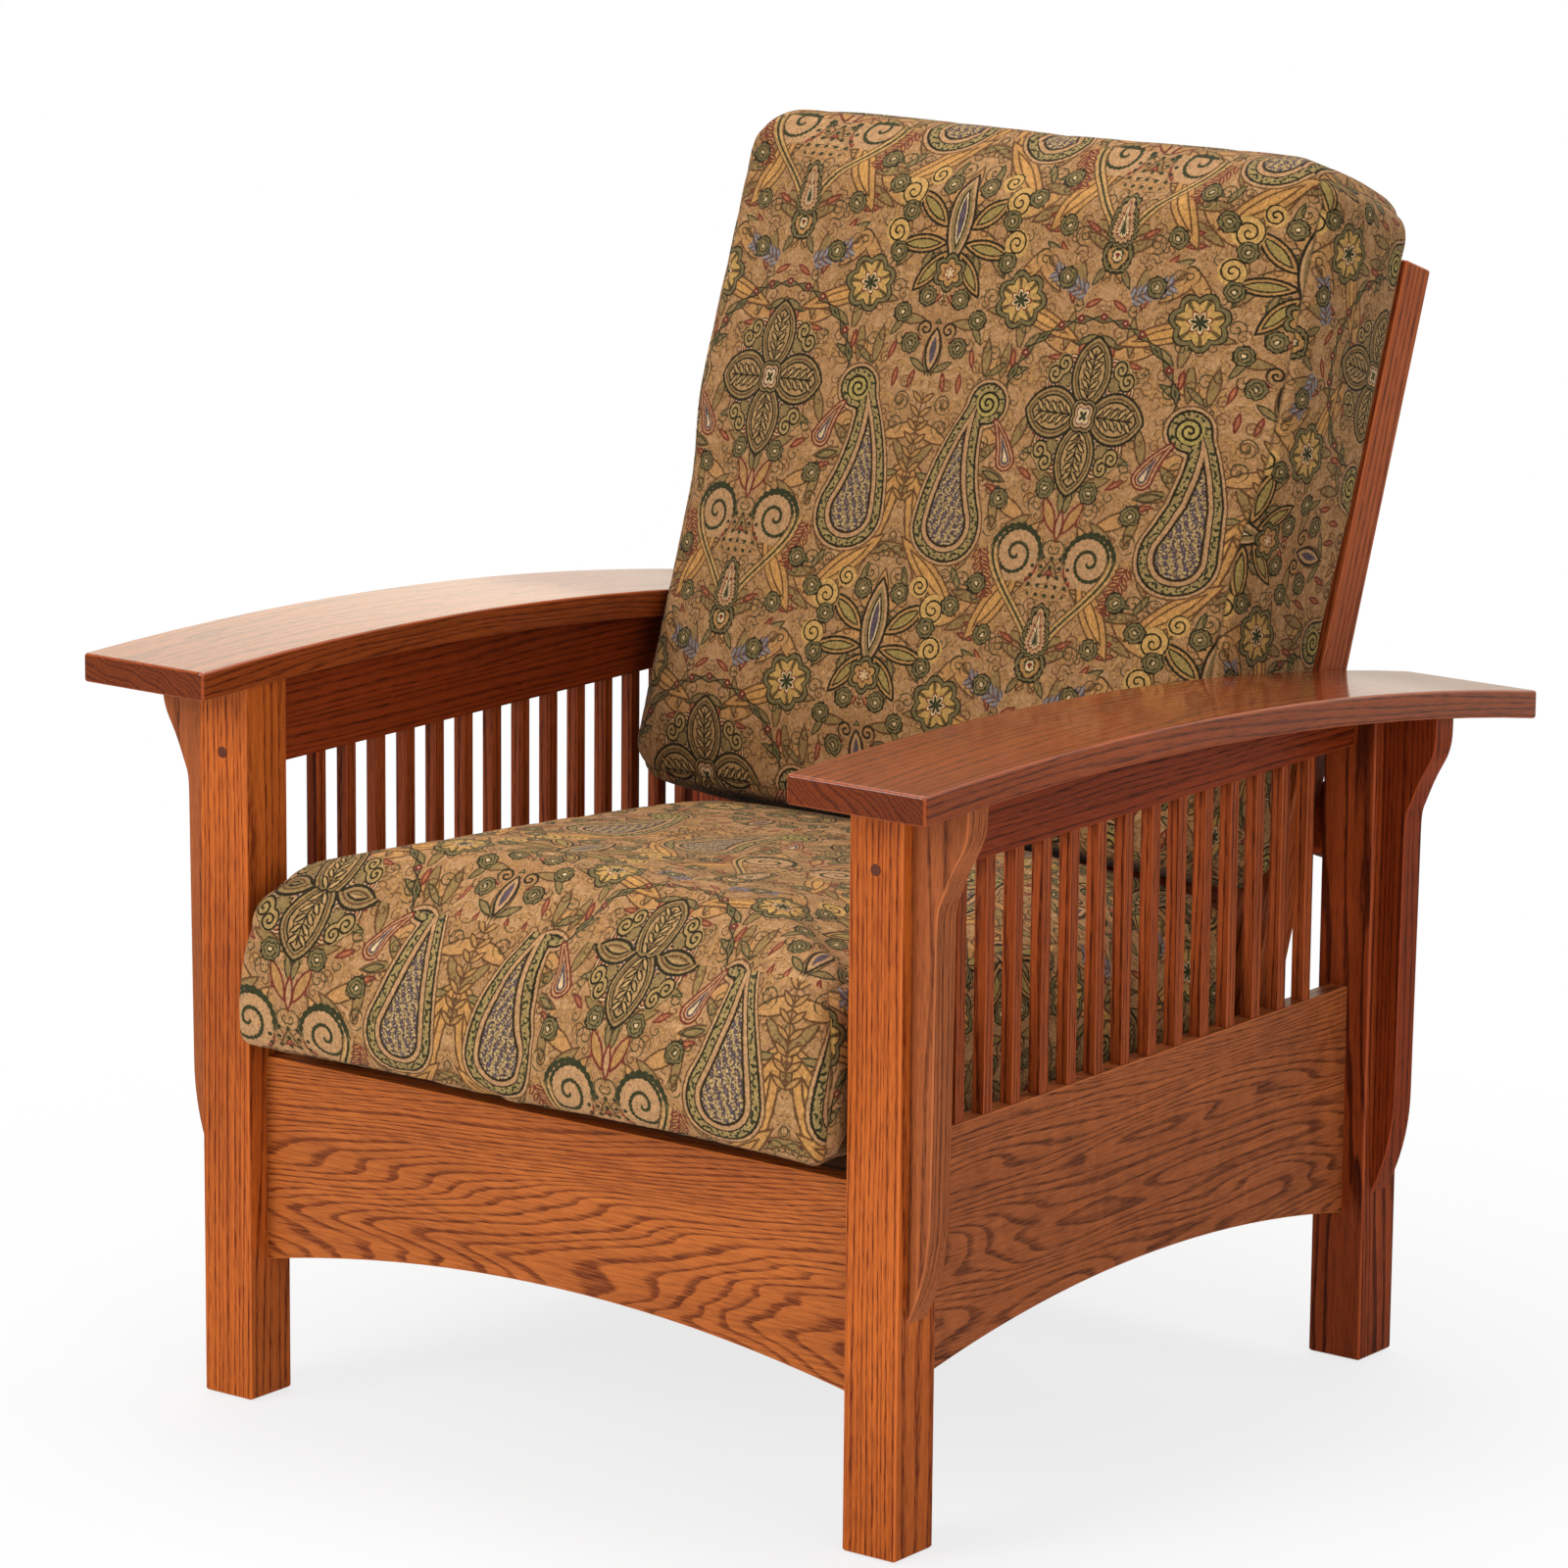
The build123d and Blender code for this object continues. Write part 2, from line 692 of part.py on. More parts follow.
# Support rod: where it rests behind the stiles, and how far it shifts for the full recline
rod_stand_off = stile_depth / 2 + rod_diameter / 2 + rod_clearance
rod_z = bow_height(arm_under_radius, rear_post_front) - rod_drop
rod_height = (rod_z - pivot_height + rod_stand_off * sin(lean)) / cos(lean)
rod_y = pivot_back + rod_height * sin(lean) + rod_stand_off * cos(lean)
full_lean = radians(back_lean + back_recline)
rack_angle = radians(rack_slope)
rod_lag = rod_stand_off - (
    (rod_y - pivot_back) * cos(full_lean) - (rod_z - pivot_height) * sin(full_lean)
)
rod_travel = rod_lag / cos(full_lean - rack_angle)
rack_inner = inner_half - rack_thickness
rack_plane = Plane(
    origin=(rack_inner, rod_y, rod_z),
    x_dir=(0, cos(rack_angle), -sin(rack_angle)),
    z_dir=(1, 0, 0),
)


def rack_screws(extra=0.0):
    """Screws that hold the right rack against the inner face of the rear post."""
    return [
        rack_plane * Pos(-rack_screw_forward, height, 0) * Rot(180, 0, 0)
        * screw(rack_screw_length, extra)
        for height in (rack_screw_up, -rack_screw_down)
    ]


def build_rod_and_racks():
    slot_radius = rod_diameter / 2 + rod_clearance
    length = rack_front + rod_travel + rack_rear
    height = rack_above + rack_below
    plate = Pos(length / 2 - rack_front, (rack_above - rack_below) / 2, rack_thickness / 2) * Box(
        length, height, rack_thickness
    )
    plate = fillet(plate.edges().filter_by(Axis.Z), rack_corner_radius)
    rack = rack_plane * plate
    tall = rack_thickness + cut_overrun
    slot = Pos(rod_travel / 2, 0, 0) * Box(rod_travel, slot_radius * 2, tall * 2)
    cuts = [slot]
    for place in (0, rod_travel):
        cuts.append(Pos(place, 0, 0) * Cylinder(slot_radius, tall * 2))
    for index in range(rack_notches):
        place = rod_travel * index / (rack_notches - 1)
        cuts.append(Pos(place, -rack_notch_drop, 0) * Cylinder(slot_radius, tall * 2))
    for cut in cuts:
        rack = rack - rack_plane * cut
    for hole in rack_screws(screw_clearance):
        rack = rack - hole
    reach = inner_half - rod_end_gap
    rod = cylinder_x(-reach, reach, rod_y, rod_z, rod_diameter / 2)
    rod = fillet(rod.edges().filter_by(GeomType.CIRCLE), rod_ease)
    screws = rack_screws()
    return {
        **both_sides("rod_rack", rack),
        "support_rod": rod,
        "rack_screws": Compound(screws + [mirror(each, about=Plane.YZ) for each in screws]),
    }


def build_small_parts():
    x = half_width - post_size / 2
    glide = Pos(0, 0, glide_thickness / 2) * Cylinder(glide_diameter / 2, glide_thickness)
    glides = []
    for y0 in (0, rear_post_front):
        for side in (-1, 1):
            glides.append(Pos(side * x, y0 + post_size / 2, 0) * glide)
    return {
        "floor_glides": Compound(glides),
        "post_plugs": Compound([plug(), mirror(plug(), about=Plane.YZ)]),
    }


def cushion_section(half_w, half_h, radius, top_crown, under_crown, bulge):
    """Closed outline of a cushion across its length: eight arcs."""
    w = half_w
    h = half_h
    r = radius
    k = r * (1 - sqrt(0.5))
    points = [
        ((-w + r, h), (0, h + top_crown), (w - r, h)),
        ((w - r, h), (w - k, h - k), (w, h - r)),
        ((w, h - r), (w + bulge, 0), (w, -h + r)),
        ((w, -h + r), (w - k, -h + k), (w - r, -h)),
        ((w - r, -h), (0, -h - under_crown), (-w + r, -h)),
        ((-w + r, -h), (-w + k, -h + k), (-w, -h + r)),
        ((-w, -h + r), (-w - bulge, 0), (-w, h - r)),
        ((-w, h - r), (-w + k, h - k), (-w + r, h)),
    ]
    return make_face([ThreePointArc(*arc) for arc in points])


def cushion_end(half_w, half_h, bulge, plan_share):
    """Sections of one end from its tip inwards: a dome, then the rounded edge."""
    edge = cushion_edge_radius
    corner = edge * cushion_corner_share
    sections = []
    for share in cushion_dome_shares:
        sections.append((-bulge * (1 - share**2), cushion_section(
            (half_w - edge * plan_share) * share, (half_h - edge) * share,
            corner / 2 * share, cushion_end_crown * share,
            cushion_under_crown * share, cushion_side_bulge * share,
        )))
    for share in cushion_edge_shares:
        inset = edge * (1 - sqrt(1 - (1 - share) ** 2))
        sections.append((edge * share, cushion_section(
            half_w - inset * plan_share, half_h - inset,
            corner - corner / 2 * inset / edge, cushion_end_crown,
            cushion_under_crown, cushion_side_bulge,
        )))
    return sections


def cushion(half_w, length, thickness, crown, front_bulge, plan_share):
    """Crowned cushion from y = 0 to y = length, in the middle of z, with domed ends."""
    half_h = thickness / 2
    first = cushion_end(half_w, half_h, front_bulge, plan_share)
    last = cushion_end(half_w, half_h, cushion_end_bulge, cushion_plan_share)
    middles = []
    for share in cushion_middle_shares:
        swell = 1 - abs(2 * share - 1) ** cushion_crown_power
        middles.append((length * share, cushion_section(
            half_w - cushion_draw_in * swell, half_h,
            cushion_edge_radius * cushion_corner_share,
            cushion_end_crown + (crown - cushion_end_crown) * swell,
            cushion_under_crown, cushion_side_bulge,
        )))
    ends = [(length - y, section) for y, section in reversed(last)]
    placed = [Pos(0, y, 0) * Rot(90, 0, 0) * section for y, section in first + middles + ends]
    return loft(placed, ruled=True)


def build_cushions():
    seat = cushion(
        inner_half - seat_cushion_side_gap - cushion_side_bulge, seat_cushion_length,
        seat_cushion_thickness, seat_cushion_crown, seat_cushion_front_bulge,
        seat_front_plan_share,
    )
    back = cushion(
        arm_inner - back_cushion_side_gap - cushion_side_bulge, back_cushion_height,
        back_cushion_thickness, back_cushion_crown, cushion_end_bulge, cushion_plan_share,
    )
    back_middle = stile_depth / 2 + soft_gap + cushion_under_crown + back_cushion_thickness / 2
    seat_top = cushion_under_crown + seat_cushion_thickness + cushion_end_crown
    touch = seat_line(pivot_back - back_middle * cos(lean), -seat_top) - pivot_height
    touch = (touch - back_middle * sin(lean)) / (cos(lean) + sin(lean) * tan(slope))
    bottom = touch + back_cushion_seat_gap
    seat_lift = cushion_under_crown + seat_cushion_thickness / 2
    return {
        "seat_cushion": seat_plane * Pos(0, 0, seat_lift) * seat,
        "back_cushion": back_plane * Pos(0, bottom, back_middle) * back,
    }


def build_all():
    nodes = {}
    nodes.update(build_posts())
    nodes.update(build_arms())
    nodes.update(build_corbels())
    nodes.update(build_aprons())
    nodes.update(build_sides())
    nodes.update(build_seat_frame())
    nodes.update(build_back_frame())
    nodes.update(build_pivots())
    nodes.update(build_rod_and_racks())
    nodes.update(build_small_parts())
    nodes.update(build_cushions())
    return nodes


# The furthest place to the rear is the top rear edge of the leaning stiles
rear_reach = pivot_back + stile_top * sin(lean) + stile_depth / 2 * cos(lean)
shift_y = -(arm_front + rear_reach) / 2

os.makedirs("parts", exist_ok=True)
for node_name, node_solid in build_all().items():
    export_step(Pos(0, shift_y, 0) * node_solid, f"parts/{node_name}.step")

print("shift_y", round(shift_y, 4))
print("pivot y z", round(pivot_back + shift_y, 4), round(pivot_height, 4))
print("rod y z", round(rod_y + shift_y, 4), round(rod_z, 4), "travel", round(rod_travel, 4))
print("rod ratio m per rad", round(rod_travel / 1000 / radians(back_recline), 6))
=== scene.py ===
import math

import bpy
import numpy as np
from mathutils import Matrix, Vector, noise


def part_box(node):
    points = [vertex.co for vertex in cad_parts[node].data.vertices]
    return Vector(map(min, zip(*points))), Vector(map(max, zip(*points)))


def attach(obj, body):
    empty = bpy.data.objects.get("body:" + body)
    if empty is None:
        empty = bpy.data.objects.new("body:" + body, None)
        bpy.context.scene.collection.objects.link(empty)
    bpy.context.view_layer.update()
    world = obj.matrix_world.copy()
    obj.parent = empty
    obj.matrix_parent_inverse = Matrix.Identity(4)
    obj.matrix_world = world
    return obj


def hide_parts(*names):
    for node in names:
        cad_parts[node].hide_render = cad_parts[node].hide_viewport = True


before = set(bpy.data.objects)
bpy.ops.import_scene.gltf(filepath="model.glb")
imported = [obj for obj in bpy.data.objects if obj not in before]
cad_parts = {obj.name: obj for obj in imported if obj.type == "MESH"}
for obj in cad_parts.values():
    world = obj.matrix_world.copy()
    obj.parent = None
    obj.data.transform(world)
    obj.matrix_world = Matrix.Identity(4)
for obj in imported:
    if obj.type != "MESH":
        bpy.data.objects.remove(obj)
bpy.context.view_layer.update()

# Sizes in metres
SHIFT_Y = -0.3964802          # the front posts' faces lie at this y
SEAT_SLOPE = math.radians(5.0)
BACK_LEAN = math.radians(19.4)
RACK_SLOPE = math.radians(20)
PIVOT = Vector((0.0, 0.5915 + SHIFT_Y, 0.224))
BOW_RADIUS = 4.142
BOW_CROWN_Y = 0.095 + SHIFT_Y

scene = bpy.context.scene
scene.view_settings.view_transform = "Standard"


def lin(r, g, b):
    """sRGB 0-255 to linear."""
    out = []
    for c in (r, g, b):
        c = c / 255.0
        out.append(c / 12.92 if c <= 0.04045 else ((c + 0.055) / 1.055) ** 2.4)
    return (out[0], out[1], out[2], 1.0)


class Graph:
    """Small helper to write node trees as expressions."""

    def __init__(self, name):
        self.mat = bpy.data.materials.new(name)
        self.mat.use_nodes = True
        self.tree = self.mat.node_tree
        self.tree.nodes.clear()

    def node(self, kind, **props):
        n = self.tree.nodes.new(kind)
        for key, value in props.items():
            setattr(n, key, value)
        return n

    def put(self, socket, value):
        if isinstance(value, S):
            self.tree.links.new(value.s, socket)
        elif hasattr(value, "is_output"):
            self.tree.links.new(value, socket)
        else:
            socket.default_value = value

    def math(self, op, a, b=None, c=None, clamp=False):
        n = self.node("ShaderNodeMath", operation=op, use_clamp=clamp)
        self.put(n.inputs[0], a)
        if b is not None:
            self.put(n.inputs[1], b)
        if c is not None:
            self.put(n.inputs[2], c)
        return S(self, n.outputs[0])

    def xyz(self, v):
        n = self.node("ShaderNodeSeparateXYZ")
        self.put(n.inputs[0], v)
        return [S(self, o) for o in n.outputs]

    def vec(self, x=0.0, y=0.0, z=0.0):
        n = self.node("ShaderNodeCombineXYZ")
        for i, v in enumerate((x, y, z)):
            self.put(n.inputs[i], v)
        return S(self, n.outputs[0])

    def noise(self, v, scale=1.0, detail=2.0, rough=0.5, distortion=0.0):
        n = self.node("ShaderNodeTexNoise")
        for key, value in (("Vector", v), ("Scale", scale), ("Detail", detail),
                           ("Roughness", rough), ("Distortion", distortion)):
            self.put(n.inputs[key], value)
        return S(self, n.outputs["Fac"])

    def map_range(self, kind, *values):
        n = self.node("ShaderNodeMapRange", interpolation_type=kind)
        for socket, value in zip(n.inputs, values):
            self.put(socket, value)
        return S(self, n.outputs[0])

    def smooth(self, x, lo, hi, a=0.0, b=1.0):
        return self.map_range("SMOOTHSTEP", x, lo, hi, a, b)

    def linear(self, x, lo, hi, a=0.0, b=1.0):
        return self.map_range("LINEAR", x, lo, hi, a, b)

    def mix(self, fac, a, b, blend="MIX"):
        n = self.node("ShaderNodeMix", data_type="RGBA", blend_type=blend)
        self.put(n.inputs[0], fac)
        self.put(n.inputs[6], a)
        self.put(n.inputs[7], b)
        return S(self, n.outputs[2])

    def ramp(self, fac, stops):
        """Colour ramp; the socket of its colour and the socket of its alpha."""
        n = self.node("ShaderNodeValToRGB")
        elements = n.color_ramp.elements
        elements.remove(elements[1])
        elements[0].position, elements[0].color = stops[0]
        for position, colour in stops[1:]:
            elements.new(position).color = colour
        self.put(n.inputs[0], fac)
        return S(self, n.outputs[0]), S(self, n.outputs[1])

    def vector_math(self, operation, a, b=None):
        n = self.node("ShaderNodeVectorMath", operation=operation)
        self.put(n.inputs[0], a)
        if b is not None:
            self.put(n.inputs[1], b)
        return n

    def bump(self, height, strength, distance):
        n = self.node("ShaderNodeBump")
        for key, value in (("Height", height), ("Strength", strength), ("Distance", distance)):
            self.put(n.inputs[key], value)
        return S(self, n.outputs[0])

    def finish(self, **sockets):
        bsdf = self.node("ShaderNodeBsdfPrincipled")
        for key, value in sockets.items():
            self.put(bsdf.inputs[key.replace("_", " ")], value)
        out = self.node("ShaderNodeOutputMaterial")
        self.tree.links.new(bsdf.outputs[0], out.inputs[0])
        return self.mat


class S:
    """A socket that takes part in sums."""

    def __init__(self, graph, socket):
        self.g = graph
        self.s = socket


def sum_method(operation, flipped):
    """Method that adds one Math node to the graph."""
    def method(self, *others):
        values = (self,) + others
        return self.g.math(operation, *(values[::-1] if flipped else values))
    return method


for name, operation, flipped in (
        ("__add__", "ADD", False), ("__radd__", "ADD", True),
        ("__sub__", "SUBTRACT", False), ("__rsub__", "SUBTRACT", True),
        ("__mul__", "MULTIPLY", False), ("__rmul__", "MULTIPLY", True),
        ("__truediv__", "DIVIDE", False), ("__abs__", "ABSOLUTE", False),
        ("sin", "SINE", False), ("cos", "COSINE", False),
        ("sqrt", "SQRT", False), ("floor", "FLOOR", False), ("fract", "FRACT", False),
        ("max", "MAXIMUM", False), ("min", "MINIMUM", False), ("gt", "GREATER_THAN", False)):
    setattr(S, name, sum_method(operation, flipped))


def edge_tones(g, directions):
    """How far the surface is end grain, and how far it is an eased edge."""
    normal = g.node("ShaderNodeTexCoord").outputs["Normal"]
    facing = [abs(S(g, g.vector_math("DOT_PRODUCT", normal, axis).outputs["Value"])) for axis in directions]
    # share of eased edge, which oak paints paler as a painted highlight
    highlight_arris = g.smooth(facing[0].max(facing[1]).max(facing[2]), 0.965, 0.82)
    return g.smooth(facing[0], 0.72, 0.93), highlight_arris


def growth_rings(g, u, v, w, seed, pith, ring, sway, wander, taper):
    """Share of porous early wood: a dark band in each ring that fades into the late wood."""
    # slow wander of the rings along the board
    shift = g.vec(seed, 0.0, 0.0) if isinstance(seed, S) else (seed, seed * 1.7, 0.0)
    slow = g.vector_math("ADD", g.vec(u * 9.0, v * 9.0, w * 1.1), shift).outputs[0]
    drift_u = g.noise(slow, 1.0, 2.0, 0.45)
    drift_v = g.noise(slow, 3.1, 1.0, 0.5)
    du = u - float(pith[0]) + (drift_u - 0.5) * 0.060 * sway
    dv = v - float(pith[1]) + (drift_v - 0.5) * 0.022 * sway
    radius = (du * du + dv * dv).sqrt()
    wobble = g.noise(g.vec(u * 60.0, v * 60.0, w * 4.0), 1.0, 2.0, 0.5)
    if taper:
        radius = radius + w * taper
    count = (radius + (wobble - 0.5) * wander) * (1.0 / ring)
    spread = g.noise(g.vec(count * 0.35, seed, 0.0), 1.0, 0.0, 0.5)
    count = count + spread * 2.2
    bands = ((0.0, 0.06), (0.08, 1.0), (0.24, 0.80), (0.40, 0.14), (1.0, 0.03))
    return g.ramp(count.fract(), [(at, (level, level, level, 1)) for at, level in bands])[0]


def oak(name, grain, across, pith, tones, seed, ring, bow=0.0, cell=None, coat=0.0,
        figure=0.0, sway=1.0, band=0.46, gloss=0.20, wander=0.0035, taper=0.0):
    """Stained open-pored oak.

    grain and across are unit vectors in the row frame; pith is where the heart of the
    log lies, in the two directions across the grain, measured from the row's origin.
    bow is the radius that the board is bent to. cell is (axis, start, pitch) where one
    node holds several boards, each with grain of its own. taper is how fast the rings
    run out of the board along the grain, as in a flame figure.
    """
    light, dark = tones
    g = Graph(name)
    x, y, z = g.xyz(g.node("ShaderNodeTexCoord").outputs["Object"])
    if bow:
        off = y - BOW_CROWN_Y
        z = z + off * off * (0.5 / bow)
    grain = Vector(grain).normalized()
    across = Vector(across).normalized()
    third = grain.cross(across)
    end_grain, highlight_arris = edge_tones(g, (grain, across, third))

    def along(direction):
        terms = [part * float(k) for part, k in zip((x, y, z), direction) if abs(k) > 1e-6]
        total = terms[0]
        for term in terms[1:]:
            total = total + term
        return total

    w, u, v = along(grain), along(across), along(third)
    if cell:
        axis, start, pitch = cell
        number = (((x, y, z)[axis] - start) * (1.0 / pitch)).floor()
        seed = number * 0.731 + seed
        u = u + (number * 12.9898).sin() * 0.021
        v = v + (number * 78.233).sin() * 0.027
        w = w + number * 0.37
    early = growth_rings(g, u, v, w, seed, pith, ring, sway, wander, taper)

    # pores and flecks: short dark dashes along the grain
    pores = g.noise(g.vec(u * 1500.0, v * 1500.0, w * 55.0), 1.0, 1.0, 0.55)
    dash = g.smooth(pores, 0.50, 0.66)
    flecks = g.smooth(g.noise(g.vec(u * 620.0, v * 620.0, w * 48.0), 1.0, 1.0, 0.6), 0.46, 0.66)
    fine = g.noise(g.vec(u * 420.0, v * 420.0, w * 7.0), 1.0, 2.0, 0.6)
    blotch = g.noise(g.vec(u * 14.0, v * 14.0, w * 3.5), 1.0, 2.0, 0.5)
    tone = early * band + (fine - 0.5) * 0.70 + (blotch - 0.5) * 0.60
    tone = tone + flecks * (early * 0.42 + 0.16)
    if figure:
        wave = g.noise(g.vec(u * 30.0, v * 30.0, w * 60.0), 1.0, 1.0, 0.5, 0.6)
        tone = tone + (wave - 0.5) * figure
    pore_mask = dash * (early * 0.75 + 0.25)

    # end grain takes more stain, and the eased edges are painted paler: a painted highlight where they
    # catch the light
    deep = tuple(c * 0.42 for c in dark[:3]) + (1.0,)
    # painted highlight: the paler colour laid along every eased edge
    painted_highlight = tuple(min(1.0, c * 1.5 + 0.012) for c in light[:3]) + (1.0,)
    colour = g.mix(g.linear(tone, -0.15, 0.70), light, dark)
    colour = g.mix(g.linear(pore_mask, 0.0, 1.0, 0.0, 0.85), colour, deep)
    colour = g.mix(end_grain * 0.45, colour, deep)
    colour = g.mix(highlight_arris * 0.5, colour, painted_highlight)
    rough = g.linear(pore_mask + (fine - 0.5) * 0.3, 0.0, 1.0, 0.34, 0.60)
    normal = g.bump(-1.0 * pore_mask - early * 0.35, 0.28, 0.0004)
    return g.finish(Base_Color=colour, Roughness=rough, Normal=normal,
                    Specular_IOR_Level=gloss, Coat_Weight=coat, Coat_Roughness=0.10, IOR=1.45)


# Paler and darker tone of each kind of board
POST = (lin(206, 106, 40), lin(118, 44, 15))
APRON = (lin(202, 112, 50), lin(124, 58, 26))
PANEL = (lin(180, 99, 52), lin(110, 55, 30))
REAR = (lin(168, 74, 32), lin(84, 30, 11))
ARM = (lin(160, 72, 26), lin(96, 35, 11))
RAIL = (lin(150, 60, 22), lin(88, 29, 9))
STILE = (lin(184, 92, 44), lin(110, 44, 18))
SPINDLE = (lin(176, 84, 38), lin(94, 35, 12))
# painted shade: the seat rails and slats under the cushion get a darker, duller tone than the oak outside
SHADED_INSIDE = (lin(116, 74, 44), lin(76, 47, 28))

X, Y, Z = (1, 0, 0), (0, 1, 0), (0, 0, 1)
UP_BACK = (0.0, math.sin(BACK_LEAN), math.cos(BACK_LEAN))
DOWN_BACK = (0.0, math.cos(RACK_SLOPE), -math.sin(RACK_SLOPE))
SPINDLE_PITCH = 0.0387
SPINDLE_HALF = 0.006
FIRST_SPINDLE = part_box("spindles_right")[0][1] + SPINDLE_HALF - SPINDLE_PITCH / 2
SPINDLE_CELLS = (1, FIRST_SPINDLE, SPINDLE_PITCH)
SLAT_CELLS = (1, -0.40, 0.074)
LACQUERED_ARM = {"bow": BOW_RADIUS, "coat": 0.85, "gloss": 0.12}
FLAME_APRON = {"taper": -0.080, "sway": 0.9, "wander": 0.0042, "band": 0.52}
FLAME_PANEL = {"taper": 0.05, "sway": 2.4, "figure": 0.5}
BOLD_POST = {"sway": 1.2, "wander": 0.014, "band": 0.7}
QUIET_POST = {"sway": 0.6, "band": 0.38}

# node: (grain, across, heart of the log, tones, seed, ring, extra)
boards = {
    "front_post_right": (Z, X, (-0.42, -0.60), POST, 1.3, 0.0052, QUIET_POST),
    "front_post_left": (Z, X, (-0.95, -0.62), POST, 2.1, 0.0050, QUIET_POST),
    "rear_post_right": (Z, Y, (0.60, -0.42), REAR, 3.7, 0.0084, BOLD_POST),
    "rear_post_left": (Z, X, (-0.85, -0.30), REAR, 4.9, 0.0056, {"sway": 0.5}),
    "arm_right": (Y, X, (-0.45, 0.36), ARM, 5.2, 0.0050, LACQUERED_ARM),
    "arm_left": (Y, X, (-0.70, 0.36), ARM, 6.4, 0.0050, LACQUERED_ARM),
    "front_apron": (X, Z, (0.165, 0.47), APRON, 7.7, 0.0034, FLAME_APRON),
    "rear_apron": (X, Z, (0.17, -0.25), APRON, 8.1, 0.0052, {}),
    "back_crest_rail": (X, UP_BACK, (0.90, 0.3), STILE, 17.0, 0.0050, {}),
    "back_bottom_rail": (X, UP_BACK, (0.3, 0.2), STILE, 17.5, 0.0050, {}),
    "back_ladder_slats": (X, UP_BACK, (0.3, 0.1), STILE, 23.0, 0.0050, {}),
    "support_rod": (X, Z, (0.55, 0.1), RAIL, 19.0, 0.0044, {}),
    "seat_slats": (X, Y, (0.1, 0.4), SHADED_INSIDE, 22.0, 0.0050, {"cell": SLAT_CELLS}),
}
# The same for pairs, with the heart of the right one's log and two seeds
board_pairs = {
    "side_panel": (Y, Z, (0.17, 0.23), PANEL, (9.6, 10.6), 0.0048, FLAME_PANEL),
    "top_side_rail": (Y, Z, (0.75, 0.10), RAIL, (11.2, 12.2), 0.0044, {"sway": 0.5}),
    "front_corbel": (Z, X, (0.10, 0.60), PANEL, (13.0, 13.5), 0.0046, {"sway": 0.5}),
    "rear_corbel": (Z, X, (0.10, 0.10), RAIL, (14.0, 14.5), 0.0046, {"sway": 0.5}),
    "seat_rail": (Y, Z, (0.5, 0.1), SHADED_INSIDE, (15.0, 15.5), 0.0046, {}),
    "back_stile": (UP_BACK, X, (0.95, 0.5), STILE, (16.0, 16.5), 0.0050, {"sway": 0.4}),
    "rod_rack": (DOWN_BACK, X, (0.2, 0.5), RAIL, (18.0, 18.5), 0.0044, {}),
    "spindles": (Z, X, (0.05, 0.5), SPINDLE, (20.0, 21.0), 0.0040, {
        "cell": SPINDLE_CELLS, "sway": 0.25}),
}
for pair, (grain, across, heart, tones, seeds, ring, extra) in board_pairs.items():
    for suffix, side, seed in zip(("_right", "_left"), (1, -1), seeds):
        # the heart's place along X is mirrored
        mirrored = (heart[0] * side, heart[1]) if across is X else (heart[0], heart[1] * side)
        boards[pair + suffix] = (grain, across, mirrored, tones, seed, ring, extra)


def dress(node, material):
    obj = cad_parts[node]
    obj.data.materials.clear()
    obj.data.materials.append(material)


for node, (grain, across, heart, tones, seed, ring, extra) in boards.items():
    dress(node, oak("oak_" + node, grain, across, heart, tones, seed, ring, **extra))


def plain(name, colour, rough, metal=0.0, scale=900.0):
    """Small part's finish: one colour, mottled, with a fine bump."""
    g = Graph(name)
    mottle = g.noise(g.node("ShaderNodeTexCoord").outputs["Object"], scale, 3.0, 0.6)
    low = tuple(c * 0.75 for c in colour[:3]) + (1.0,)
    return g.finish(Base_Color=g.mix(mottle, low, colour),
                    Roughness=g.linear(mottle, 0.2, 0.8, rough * 0.8, rough * 1.2),
                    Normal=g.bump(mottle, 0.15, 0.0003), Metallic=metal)


dress("post_plugs", plain("plug_end_grain", lin(104, 46, 22), 0.4, scale=1400.0))
for node in ("seat_slat_screws", "seat_rail_screws", "rack_screws"):
    dress(node, plain("screw_steel_" + node, lin(190, 185, 170), 0.35, 1.0))
for node in ("pivot_bolts", "pivot_spacers", "pivot_washers"):
    dress(node, plain("bolt_steel_" + node, lin(70, 62, 54), 0.45, 1.0))
dress("floor_glides", plain("glide_nylon", lin(90, 72, 55), 0.6))

# Colours of the tapestry
TAN = lin(176, 134, 92)
OCHRE = lin(168, 124, 72)
OLIVE = lin(134, 109, 68)
MOSS = lin(112, 97, 61)
DARK_LINE = lin(44, 37, 22)
BROWN_LINE = lin(96, 64, 38)
DARK_GREEN = lin(54, 55, 32)
BURGUNDY = lin(110, 48, 36)
SLATE = lin(86, 72, 76)
CREAM = lin(206, 174, 128)
LINES = (DARK_LINE, BROWN_LINE, BURGUNDY)


